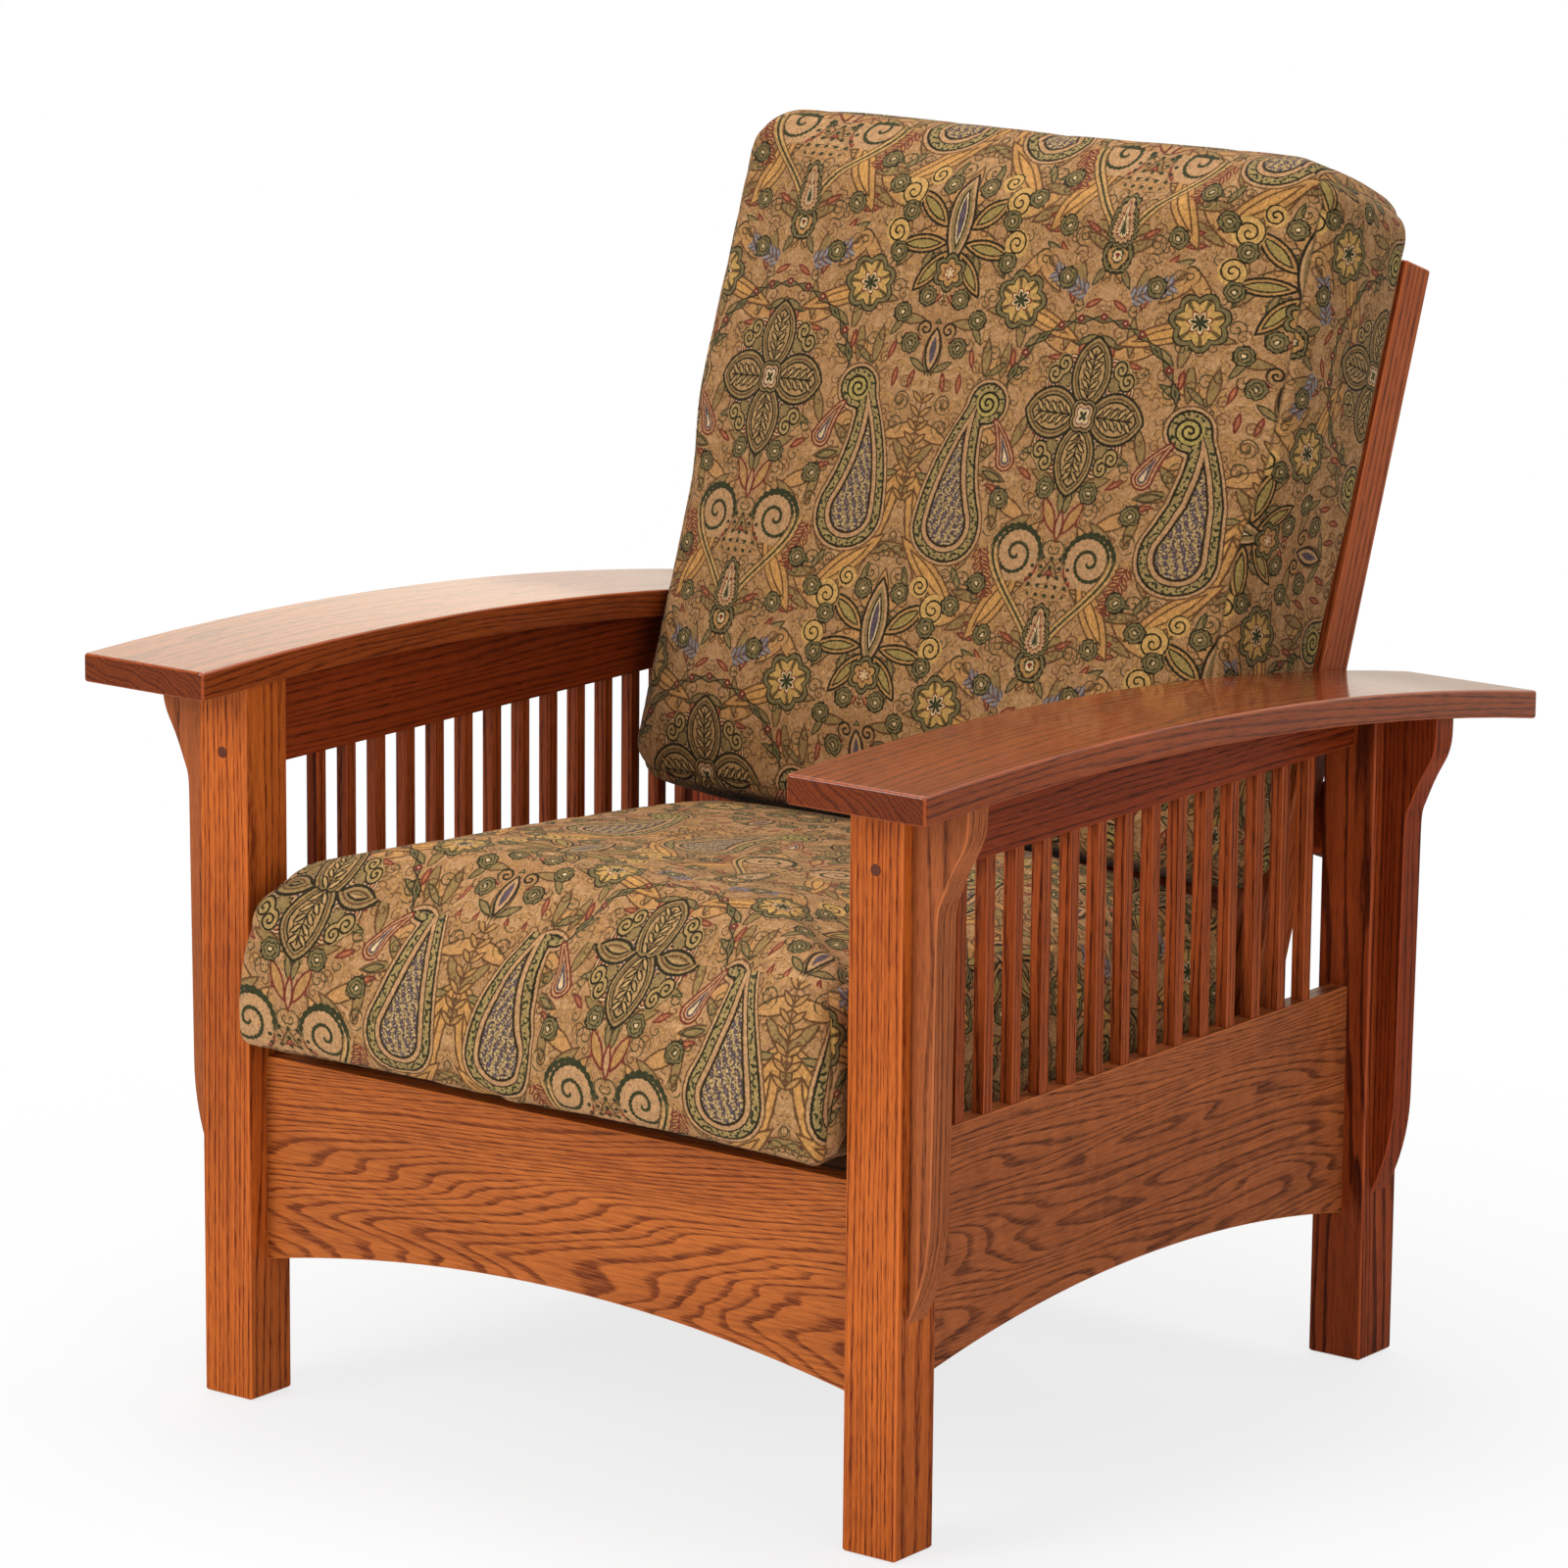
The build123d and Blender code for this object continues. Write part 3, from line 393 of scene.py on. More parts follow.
class Weave(Graph):
    """Graph with the helpers that draw motifs, in millimetres."""

    def pair(self, x, y):
        return self.vec(x, y, 0.0)

    def length(self, v):
        return S(self, self.vector_math("LENGTH", v).outputs["Value"])

    def near(self, v, spots):
        """Distance to the nearest of some spots."""
        best = None
        for x, y in spots:
            d = S(self, self.vector_math("DISTANCE", v, (x, y, 0.0)).outputs["Value"])
            best = d if best is None else best.min(d)
        return best

    def local(self, v, spot, angle=0.0, stretch=(1.0, 1.0)):
        """Coordinates around a spot, turned by an angle in degrees."""
        n = self.node("ShaderNodeMapping", vector_type="TEXTURE")
        self.put(n.inputs["Vector"], v)
        n.inputs["Location"].default_value = (spot[0], spot[1], 0.0)
        n.inputs["Rotation"].default_value = (0.0, 0.0, math.radians(angle))
        n.inputs["Scale"].default_value = (stretch[0], stretch[1], 1.0)
        return S(self, n.outputs[0])

    def angle(self, y, x):
        return self.math("ARCTAN2", y, x)

    def bands(self, under, field, edges, soft=0.35, mask=None):
        """Paint rings of a field: edges are (from, colour), and None lets the ground show."""
        lo = edges[0][0] - 1.0
        span = edges[-1][0] + 1.0 - lo
        first = edges[0][1] or edges[1][1]
        last = first[:3] + (0.0 if edges[0][1] is None else 1.0,)
        stops = [(0.0, last)]
        for at, new in edges[1:]:
            if new in LINES:
                at -= 0.35
            stops.append((min(1.0, max(0.0, (at - soft - lo) / span)), last))
            last = (new or last)[:3] + (0.0 if new is None else 1.0,)
            stops.append((min(1.0, max(0.0, (at + soft - lo) / span)), last))
        place = self.math("MULTIPLY_ADD", field, 1.0 / span, -lo / span, clamp=True)
        colour, alpha = self.ramp(place, stops)
        if mask is not None:
            alpha = alpha * mask
        return self.mix(alpha, under, colour)

    def random_cells(self, v, scale):
        """A grid of random spots: place around the nearest one, and its three random numbers."""
        n = self.node("ShaderNodeTexVoronoi", voronoi_dimensions="2D")
        self.put(n.inputs["Vector"], v)
        self.put(n.inputs["Scale"], scale)
        off = self.vector_math("SUBTRACT", v, n.outputs["Position"]).outputs[0]
        return S(self, off), self.xyz(n.outputs["Color"])

    def ogive(self, v, long, wide):
        """Leaf pointed at both ends, along x: distance in millimetres."""
        radius = (long * long + wide * wide) / (2.0 * wide)
        x, y, _ = self.xyz(v)
        return self.length(self.pair(x, abs(y) + (radius - wide))) - radius

    def spiral(self, v, pitch, hand=1.0):
        """Distance across the arms of a spiral, in millimetres, and the radius."""
        x, y, _ = self.xyz(v)
        r = self.length(v)
        turn = self.angle(y, x) * (hand / (2 * math.pi))
        wave = (r * (1.0 / pitch) + turn).fract()
        return abs(wave - 0.5) * pitch, r

    def drop(self, v, low, high, length, bend):
        """Paisley drop that stands on its round end: distance, height along it."""
        x, y, _ = self.xyz(v)
        x = x - y * y * bend
        slope = (low - high) / length
        rise = math.sqrt(1.0 - slope * slope)
        ax = abs(x)
        k = ax * -slope + y * rise
        foot = self.length(self.pair(ax, y)) - low
        tip = self.length(self.pair(ax, y - length)) - high
        side = ax * rise + y * slope - low
        k_low = k.gt(0.0)
        k_high = k.gt(rise * length)
        d = foot + (side - foot) * k_low
        d = d + (tip - d) * k_high
        return d, x, y


# One repeat of the pattern, in millimetres
WIDE, TALL = 330.0, 352.0


def tapestry_colour(g, u, v):
    """Own paisley repeat: mirrored across, drawn in millimetres."""
    weave = g.noise(g.pair(u * 0.42, v * 0.42), 1.0, 1.0, 0.5)
    weave2 = g.noise(g.pair(u * 0.42 + 31.7, v * 0.42), 1.0, 1.0, 0.5)
    u = u + (weave - 0.5) * 1.5
    v = v + (weave2 - 0.5) * 1.5
    x = abs((u * (1.0 / WIDE) + 0.5).fract() - 0.5) * WIDE
    y = (v * (1.0 / TALL)).fract() * TALL
    p = g.pair(x, y)

    # ground with soft clouds and a faint tracery of stems
    cloud = g.noise(g.pair(x * 0.02, y * 0.02), 1.0, 2.0, 0.5)
    colour = g.mix(g.linear(cloud, 0.3, 0.7), lin(158, 115, 74), lin(178, 136, 92))
    trace = g.noise(g.pair(x * 0.045, y * 0.045), 1.0, 2.0, 0.55, 1.4)
    colour = g.mix(g.smooth(abs(trace - 0.5), 0.040, 0.012, 0.0, 0.75), colour, OCHRE)
    colour = g.mix(g.smooth(abs(abs(trace - 0.5) - 0.036), 0.012, 0.004, 0.0, 0.8), colour, BROWN_LINE)
    return colour, x, y, p


def leaf_scatter(g, colour, p, scale, leaf, fill, line, seed):
    """Small leaves, one in each cell of a grid of random spots."""
    off, (red, green, _) = g.random_cells(p, scale)
    turn = g.node("ShaderNodeVectorRotate", rotation_type="Z_AXIS")
    g.put(turn.inputs["Vector"], off)
    g.put(turn.inputs["Angle"], red * 25.0 + seed)
    d = g.ogive(S(g, turn.outputs[0]), *leaf)
    return g.bands(colour, d, [(-leaf[1], fill), (-0.9, line), (0.45, None)], 0.4, green.gt(0.25))


def curl_scatter(g, colour, p, scale, pitch, reach, line):
    """Small spirals, one in each cell of a grid of random spots."""
    off, (_, _, blue) = g.random_cells(p, scale)
    curl, radius = g.spiral(off, pitch)
    size = blue * 0.5 + 0.5
    inside = g.smooth(radius, size * reach, size * (reach * 0.9))
    return g.mix(g.smooth(curl, 0.95, 0.4) * inside * 0.85, colour, line)


def sprig(g, colour, v, reach, pitch, leaf, fill, line):
    """Stem with pairs of leaves that point up it, from v's origin."""
    sx, sy, _ = g.xyz(v)
    ax = abs(sx)
    row = (sy * (1.0 / pitch)).fract() * pitch
    inside = g.smooth(abs(sy - reach / 2), reach / 2, reach / 2 - 1.0)
    spot = g.local(g.pair(ax, row), (leaf[0] * 0.66, pitch * 0.5), 42.0)
    d = g.ogive(spot, *leaf)
    colour = g.bands(colour, d, [(-leaf[1], fill), (-0.8, line), (0.4, None)], 0.3, inside)
    return g.mix(g.smooth(ax, 0.9, 0.4) * inside, colour, line)


def scattered_leaves(g, colour, x, y, p):
    """Small leaves and curls all over the ground."""
    for shift, scale, leaf, fill, line, seed in (
            ((17.0, 160.0), 0.022, (24.0, 7.0), lin(178, 130, 78), BROWN_LINE, 1.0),
            ((63.0, 9.0), 0.026, (18.0, 5.0), lin(140, 112, 68), BROWN_LINE, 3.0),
            ((0.0, 0.0), 0.030, (9.0, 2.6), lin(160, 96, 62), BURGUNDY, 0.0),
            ((90.0, 40.0), 0.024, (11.0, 3.2), OLIVE, DARK_GREEN, 2.0)):
        spot = g.pair(x + shift[0], y + shift[1])
        colour = leaf_scatter(g, colour, spot, scale, leaf, fill, line, seed)
    colour = curl_scatter(g, colour, p, 0.046, 4.6, 8.5, BROWN_LINE)
    colour = curl_scatter(g, colour, g.pair(x + 41.0, y + 77.0), 0.036, 5.4, 10.5, DARK_GREEN)
    return colour


def sweeping_leaves(g, colour, x, y, p):
    """Soft tone-on-tone leaves that sweep between the large motifs."""
    for spot, turn, size in (((140, 96), 70, (62, 13)), ((120, 62), 40, (48, 10)),
                             ((50, 48), -58, (42, 11)), ((60, 292), 20, (44, 9))):
        d = g.ogive(g.local(p, spot, turn), *size)
        colour = g.bands(colour, d, [
            (-size[1], lin(190, 138, 76)), (-size[1] * 0.62, BROWN_LINE),
            (-size[1] * 0.5, lin(182, 132, 74)), (-0.9, BROWN_LINE), (0.5, None)], 0.5)
    return colour


def garland(g, colour, x, y, p):
    """Garland of small leaves and berries over the medallion."""
    gv = g.local(p, (0, 214))
    gx, gy, _ = g.xyz(gv)
    r = g.length(gv)
    turn = g.angle(gy, gx)
    step = (turn * 13.0 / math.pi).fract() - 0.5
    hug = abs(r - 84.0) + abs(step) * 7.0
    upper = g.smooth(gy, 4.0, 16.0)
    colour = g.bands(colour, hug, [(0, DARK_GREEN), (1.4, MOSS), (3.4, DARK_LINE), (4.4, None)], 0.4, upper)
    dots = g.near(p, [(0, 300), (40, 289), (70, 262), (84, 226), (22, 296.5)])
    colour = g.bands(colour, dots, [(0, CREAM), (1.2, BURGUNDY), (3.6, None)], 0.4)
    return colour


def medallion(g, colour, x, y, p):
    """Lace behind the medallion, then its four petals with curls."""
    m = g.local(p, (0, 214), 0.0, (0.94, 1.12))
    mx, my, _ = g.xyz(m)
    mx = abs(mx)
    my = abs(my)
    long_way = mx.max(my)
    short_way = mx.min(my)
    fan = g.pair(long_way - 26.5, short_way - 26.5)
    fx, fy, _ = g.xyz(fan)
    scallop = abs((g.angle(fy, fx) * 4.5).sin()) * 2.2
    lace = g.length(fan) - scallop
    colour = g.bands(colour, lace, [
        (0, OLIVE), (5.5, DARK_LINE), (6.6, TAN), (8.6, SLATE), (10.2, CREAM), (11.8, BURGUNDY),
        (13.2, TAN), (15.2, BURGUNDY), (16.4, CREAM), (17.8, BROWN_LINE), (18.8, None)], 0.3)
    petal = g.ogive(g.pair(long_way - 33.0, short_way), 29.0, 20.5)
    colour = g.bands(colour, petal, [
        (-21, lin(154, 124, 78)), (-12.6, BROWN_LINE), (-11.8, lin(164, 128, 82)), (-7.6, DARK_LINE),
        (-6.3, OLIVE), (-4.6, BROWN_LINE), (-3.6, lin(146, 118, 74)), (-1.3, DARK_LINE), (0.5, None)], 0.25)
    vein = g.pair(short_way, long_way - 13.0)
    colour = sprig(g, colour, vein, 38.0, 7.5, (7.0, 2.4), lin(176, 140, 90), DARK_LINE)
    curl, radius = g.spiral(g.pair(long_way - 38.0, short_way - 30.0), 4.4)
    colour = g.mix(g.smooth(radius, 8.6, 7.8), colour, lin(158, 128, 78))
    colour = g.mix(g.smooth(curl, 1.15, 0.55) * g.smooth(radius, 9.4, 8.6), colour, DARK_LINE)
    centre = g.length(m) - abs((g.angle(my, mx) * 2.0).sin()) * 3.0
    colour = g.bands(colour, centre, [
        (0, DARK_GREEN), (1.6, CREAM), (4.2, SLATE), (5.4, TAN), (8.0, DARK_LINE), (9.2, OLIVE),
        (11.0, DARK_LINE), (12.0, None)], 0.3)
    return colour


def large_drop(g, colour, x, y, p):
    """Long paisley drop with a curled tip."""
    d, dx, dy = g.drop(g.local(p, (114, 108), -14.0), 33.0, 9.0, 98.0, -0.0032)
    curl_at = g.local(p, (97, 214))
    curl_d = g.length(curl_at) - 18.0
    outside = g.math("SMOOTH_MIN", d, curl_d, 6.0)
    colour = g.bands(colour, outside, [
        (-30, TAN), (-1.3, DARK_LINE), (0.6, TAN), (3.2, BROWN_LINE), (4.2, None)], 0.3)
    beads = g.noise(g.pair(x * 0.34, y * 0.34), 1.0, 0.0, 0.5)
    band = g.mix(g.smooth(beads, 0.54, 0.60), lin(150, 126, 78), DARK_GREEN)
    in_band = g.smooth(abs(outside + 4.4), 3.2, 2.7)
    colour = g.mix(in_band, colour, band)
    colour = g.bands(colour, outside, [
        (-16.5, TAN), (-13.4, BROWN_LINE), (-12.4, TAN), (-8.4, DARK_LINE), (-7.3, TAN),
        (-7.0, None)], 0.25, g.smooth(outside, -7.2, -7.5))
    stripes = (dx * 0.11 + dy * 0.075 + (beads - 0.5) * 0.9).fract()
    speck = g.noise(g.pair(x * 0.55, y * 0.55), 1.0, 0.0, 0.5)
    core = g.mix(g.smooth(stripes, 0.42, 0.52), lin(160, 132, 86), SLATE)
    core = g.mix(g.smooth(speck, 0.60, 0.66), core, lin(184, 156, 108))
    core = g.mix(g.smooth(speck, 0.40, 0.35), core, lin(88, 62, 48))
    core_d = (d + 13.5).max(dy - 84.0)
    colour = g.mix(g.smooth(core_d, 0.4, -0.4), colour, core)
    colour = g.bands(colour, core_d, [(-3, None), (-0.9, DARK_LINE), (0.4, None)], 0.3)
    tip, tip_r = g.spiral(curl_at, 5.6, -1.0)
    colour = g.mix(g.smooth(tip_r, 11.6, 10.8), colour, lin(164, 142, 78))
    colour = g.mix(g.smooth(tip, 1.5, 0.8) * g.smooth(tip_r, 12.4, 11.6), colour, DARK_LINE)
    return colour


def small_drop(g, colour, x, y, p):
    """Second drop beside the large one, in burgundy."""
    d2, _, _ = g.drop(g.local(p, (68, 168), -16.0), 9.5, 3.0, 34.0, 0.006)
    colour = g.bands(colour, d2, [
        (-10, CREAM), (-7.4, SLATE), (-5.4, TAN), (-4.0, BURGUNDY), (-2.8, TAN), (-1.0, BURGUNDY),
        (0.5, None)], 0.3)
    return colour


def scroll_heart(g, colour, x, y, p):
    """Heart of two scrolls with toothed backs, on the axis of the mirror."""
    sv = g.local(p, (37, 92))
    sx, sy, _ = g.xyz(sv)
    arm, arm_r = g.spiral(sv, 12.5, -1.0)
    teeth = abs((g.angle(sy, sx) * 12.0).sin()) * 1.3
    colour = g.mix(g.smooth(arm_r, 24.0, 23.0), colour, TAN)
    colour = g.mix(g.smooth(arm - teeth * 0.6, 1.5, 0.7) * g.smooth(arm_r, 24.5, 23.4), colour, DARK_GREEN)
    rim = abs(arm_r - 24.5) - teeth
    colour = g.mix(g.smooth(rim, 1.7, 0.9) * g.smooth(sy, -10.0, 2.0), colour, DARK_GREEN)
    stem_x = g.smooth(y, 2.0, 96.0, 2.0, 61.0)
    stem = abs(x - stem_x)
    low = g.smooth(y, 98.0, 92.0)
    colour = g.mix(g.smooth(stem, 5.8, 5.0) * low * 0.7, colour, lin(188, 146, 88))
    colour = g.mix(g.smooth(abs(stem - 5.6), 1.0, 0.5) * low, colour, BROWN_LINE)
    colour = g.mix(g.smooth(stem, 1.7, 0.9) * low, colour, DARK_GREEN)
    root = g.near(p, [(0, 0), (0, TALL)]) + (g.noise(g.pair(x * 0.30, y * 0.30), 1.0, 0.0, 0.5) - 0.5) * 4.0
    colour = g.bands(colour, root, [
        (0, BURGUNDY), (2.4, CREAM), (4.4, DARK_GREEN), (6.0, OCHRE), (10.0, DARK_LINE), (11.2, MOSS),
        (14.4, DARK_LINE), (15.6, None)], 0.3)
    seeds = g.pair((x * (1.0 / 9.0) + 0.5).fract() - 0.5, (y * (1.0 / 8.0)).fract() - 0.5)
    heap = g.length(g.pair(x, y - 74.0))
    colour = g.mix(g.smooth(g.length(seeds), 0.26, 0.18) * g.smooth(heap, 25.0, 22.0), colour, DARK_GREEN)
    bud, _, _ = g.drop(g.local(p, (0, 20)), 8.5, 3.0, 24.0, 0.0)
    rays = abs((g.angle(y - 24.0, x) * 9.0).sin()) * 2.2
    colour = g.bands(colour, bud - rays, [
        (-12, DARK_GREEN), (-7.0, CREAM), (-4.6, BURGUNDY), (-3.4, TAN), (0.2, DARK_LINE), (1.4, MOSS),
        (3.8, DARK_LINE), (4.8, None)], 0.3)
    crown = g.ogive(g.local(p, (12, 128), 62.0), 17.0, 5.5)
    colour = g.bands(colour, crown, [(-6, OCHRE), (-1.1, BURGUNDY), (0.5, None)], 0.3)
    crown = g.ogive(g.local(p, (0, 120), 90.0), 14.0, 4.0)
    colour = g.bands(colour, crown, [(-6, TAN), (-1.1, BURGUNDY), (0.5, None)], 0.3)
    return colour


def across_repeats(x, y):
    """Place measured from the spot where repeats meet."""
    return WIDE / 2 - x, ((y - TALL) * (1.0 / TALL) + 0.5).fract() * TALL - TALL / 2


def palmette(g, colour, x, y, p):
    """Palmette with side scrolls where two repeats meet."""
    px, py = across_repeats(x, y)
    q = g.pair(px, py)
    for spot, turn, size in (((30, 22), 38, (24, 9)), ((34, -8), -6, (26, 8)), ((20, -30), -52, (24, 8))):
        d = g.ogive(g.local(q, spot, turn), *size)
        colour = g.bands(colour, d, [
            (-size[1], lin(150, 126, 70)), (-size[1] * 0.55, DARK_LINE), (-size[1] * 0.42, OCHRE),
            (-1.2, DARK_LINE), (0.6, None)], 0.3)
    for spot, pitch, hand, reach in (((56, 34), 6.4, 1.0, 14.5), ((62, 0), 6.0, -1.0, 12.5),
                                     ((38, 52), 5.2, -1.0, 10.0)):
        c, c_r = g.spiral(g.local(q, spot), pitch, hand)
        colour = g.mix(g.smooth(c_r, reach, reach - 1), colour, lin(190, 148, 84))
        colour = g.mix(g.smooth(c, 1.15, 0.5) * g.smooth(c_r, reach, reach - 1), colour, DARK_LINE)
    lotus = g.ogive(g.local(q, (0, 16), 90.0), 40.0, 13.0)
    colour = g.bands(colour, lotus, [
        (-13, SLATE), (-9.8, CREAM), (-8.2, DARK_LINE), (-7.0, OLIVE), (-4.0, TAN), (-1.3, DARK_LINE),
        (0.7, None)], 0.3)
    star = g.length(g.local(q, (0, -30)))
    flare = abs((g.angle(py + 30.0, px) * 3.0).sin()) * 4.0
    colour = g.bands(colour, star - flare, [
        (-4, CREAM), (1.5, BURGUNDY), (3.0, OCHRE), (8.0, DARK_LINE), (9.3, MOSS), (12.4, DARK_LINE),
        (13.6, None)], 0.3)
    return colour


def fan_flower(g, colour, x, y, p):
    """Fan-shaped flower with ribs."""
    fv = g.local(p, (86, 306), 24.0)
    fx, fy, _ = g.xyz(fv)
    fan_a = g.angle(fy, fx)
    fan_r = g.length(fv) - abs((fan_a * 3.5).cos()) * 5.0
    ribs = g.smooth(abs((fan_a * 3.5).cos()), 0.90, 0.97)
    colour = g.bands(colour, fan_r, [
        (-6, DARK_GREEN), (2.5, CREAM), (5.0, BURGUNDY), (6.4, lin(184, 144, 80)), (15.4, DARK_LINE),
        (16.4, MOSS), (20.4, DARK_LINE), (21.6, None)], 0.3)
    colour = g.mix(ribs * g.smooth(abs(fan_r - 11.0), 4.6, 4.0) * 0.8, colour, DARK_LINE)
    return colour


def ferns(g, colour, x, y, p):
    """Three fern fronds."""
    for spot, turn, reach, pitch, leaf, fill, line in (
            ((WIDE / 2, 122), 0.0, 96.0, 12.0, (8.0, 2.7), OCHRE, BROWN_LINE),
            ((22, 318), -66.0, 42.0, 6.0, (6.5, 2.2), lin(132, 122, 118), SLATE),
            ((74, 92), 160.0, 44.0, 7.0, (6.0, 2.0), OCHRE, BURGUNDY)):
        colour = sprig(g, colour, g.local(p, spot, turn), reach, pitch, leaf, fill, line)
    return colour


def vase(g, colour, x, y, p):
    """Vase between the drops, with a hooked handle."""
    q = g.pair(*across_repeats(x, y))
    body = g.ogive(g.local(q, (0, -98), 90.0), 20.0, 7.5)
    colour = g.bands(colour, body, [(-8, SLATE), (-4.4, TAN), (-1.2, DARK_LINE), (0.6, None)], 0.3)
    hook, hook_r = g.spiral(g.local(q, (12, -80)), 5.0)
    colour = g.mix(g.smooth(hook, 1.3, 0.7) * g.smooth(hook_r, 8.5, 7.8), colour, DARK_LINE)
    return colour


def rosettes(g, colour, x, y, p):
    """Round rosettes with ragged edges."""
    spots = [(66, 136), (54, 20), (92, 40), (112, 18), (146, 44), (140, 258), (126, 284), (148, 300),
             (22, 150), (44, 330), (108, 336), (70, 62)]
    ragged = g.noise(g.pair(x * 0.30, y * 0.30), 1.0, 0.0, 0.5)
    ros = g.near(p, spots) + (ragged - 0.5) * 3.5
    colour = g.bands(colour, ros, [
        (0, CREAM), (1.6, DARK_GREEN), (3.0, OLIVE), (5.0, DARK_GREEN), (6.2, MOSS), (8.4, DARK_LINE),
        (9.4, None)], 0.3)
    return colour


# From the ground up: a later motif lies over the ones before it
MOTIFS = (scattered_leaves, sweeping_leaves, garland, medallion, large_drop, small_drop,
          scroll_heart, palmette, fan_flower, ferns, vase, rosettes)


def tapestry(g, u, v, painted_light_gain):
    """Colour of the cloth from metres on the cover, before it is painted darker along its seams; the gain
    paints light into it, a paler copy for a more brightly lit cushion.
    """
    mm_u, mm_v = u * 1000.0, v * 1000.0
    colour, x, y, p = tapestry_colour(g, mm_u, mm_v)
    for motif in MOTIFS:
        colour = motif(g, colour, x, y, p)
    heather = g.noise(g.pair(mm_u * 0.55, mm_v * 0.38), 1.0, 2.0, 0.7)
    flecks = g.noise(g.pair(mm_u * 0.24, mm_v * 0.16), 1.0, 2.0, 0.65)
    fleck = heather * 0.6 + flecks * 0.4
    # painted light: the gain makes the whole cloth paler, so a more brightly lit cushion gets a paler copy
    # of the same cloth
    value = g.linear(fleck, 0.30, 0.70, 0.44 * painted_light_gain, 1.34 * painted_light_gain)
    return g.mix(1.0, colour, g.vec(value, value, value), "MULTIPLY"), heather


def tapestry_material(name, painted_light_gain):
    g = Weave(name)
    uv = g.node("ShaderNodeUVMap", uv_map="fabric").outputs[0]
    u, v, _ = g.xyz(uv)
    colour, height = tapestry(g, u, v, painted_light_gain)
    seam = S(g, g.node("ShaderNodeAttribute", attribute_name="seam").outputs["Fac"])
    colour = g.mix(g.smooth(seam, 0.0032, 0.0008) * 0.5, colour, lin(70, 52, 34))
    rough = g.linear(height, 0.2, 0.8, 0.78, 0.95)
    return g.finish(Base_Color=colour, Roughness=rough, Normal=g.bump(height, 0.55, 0.0010),
                    Specular_IOR_Level=0.10, Sheen_Weight=0.04, Sheen_Roughness=0.5)


def rounded_point(c, half, radius, low_share, plan):
    """Where a point c of a plain block's surface lies once edges and corners are round."""
    rise = 0.5 + 0.5 * c.z / half[2]
    rise = low_share + (1 - low_share) * rise * rise * (3 - 2 * rise)
    edge = [r * rise for r in radius]
    core = Vector([max(-(h - r), min(h - r, v)) for h, v, r in zip(half, c, edge)])
    away = c - core
    if away.length > 1e-9:
        away = Vector([a / r for a, r in zip(away, edge)])
        away.normalize()
        away = Vector([a * r for a, r in zip(away, edge)])
    p = core + away
    corner_x = max(0.0, abs(p.x) - half[0] + plan) / plan
    corner_y = max(0.0, abs(p.y) - half[1] + plan) / plan
    cut_x = corner_x * (1 - math.sqrt(1 - corner_y * corner_y / 2)) * plan
    cut_y = corner_y * (1 - math.sqrt(1 - corner_x * corner_x / 2)) * plan
    p.x -= math.copysign(cut_x, p.x)
    p.y -= math.copysign(cut_y, p.y)
    return p


def filled_point(p, half, crown, draw, belly):
    """The same point once the filling crowns the big faces and the seams draw the sides in."""
    sx = max(1 - abs(p.x / half[0]) ** 2.6, 0)
    sy = max(1 - abs(p.y / half[1]) ** 2.6, 0)
    sz = max(1 - abs(p.z / half[2]) ** 2.0, 0)
    side = p.z / half[2]
    lift = crown[0] if side > 0 else crown[1]
    lift *= 1 - belly * p.y / half[1]
    p.z += side * lift * sx * sy
    p.x *= 1 - draw[0] * sy / half[0] + draw[2] * sz / half[0]
    p.y *= 1 - draw[1] * sx / half[1] + draw[2] * sz / half[1]
    return p


def print_spots(p, half):
    """Where a point's print comes from, in metres: on the left, right, near, far, under and top side."""
    hang = half[2] - p.z
    return ((0.31 - p.y, p.z + 0.47), (p.y + 0.31, p.z + 0.47), (p.x, -half[1] - hang),
            (p.x, half[1] + hang), (0.13 - p.x, p.y + 0.2), (p.x, p.y))


def seam_distance(key, counts, cell, wrap):
    """How far a point lies from a seam, along the cover."""
    dist = [min(k, n - k) * c for k, n, c in zip(key, counts, cell)]
    x_seam = max(dist[0], min(dist[1], dist[2]))
    wrapped = 0 if wrap < 0 else counts[1]
    if key[1] == wrapped:
        end_seam = key[2] * cell[2]
    elif key[2] == 0 or key[1] in (0, counts[1]):
        end_seam = max(dist[1], dist[2])
    elif key[2] == counts[2] and wrap < 0:
        end_seam = (counts[1] - key[1]) * cell[1]
    elif key[2] == counts[2]:
        end_seam = key[1] * cell[1]
    else:
        end_seam = 1.0
    return min(x_seam, end_seam)


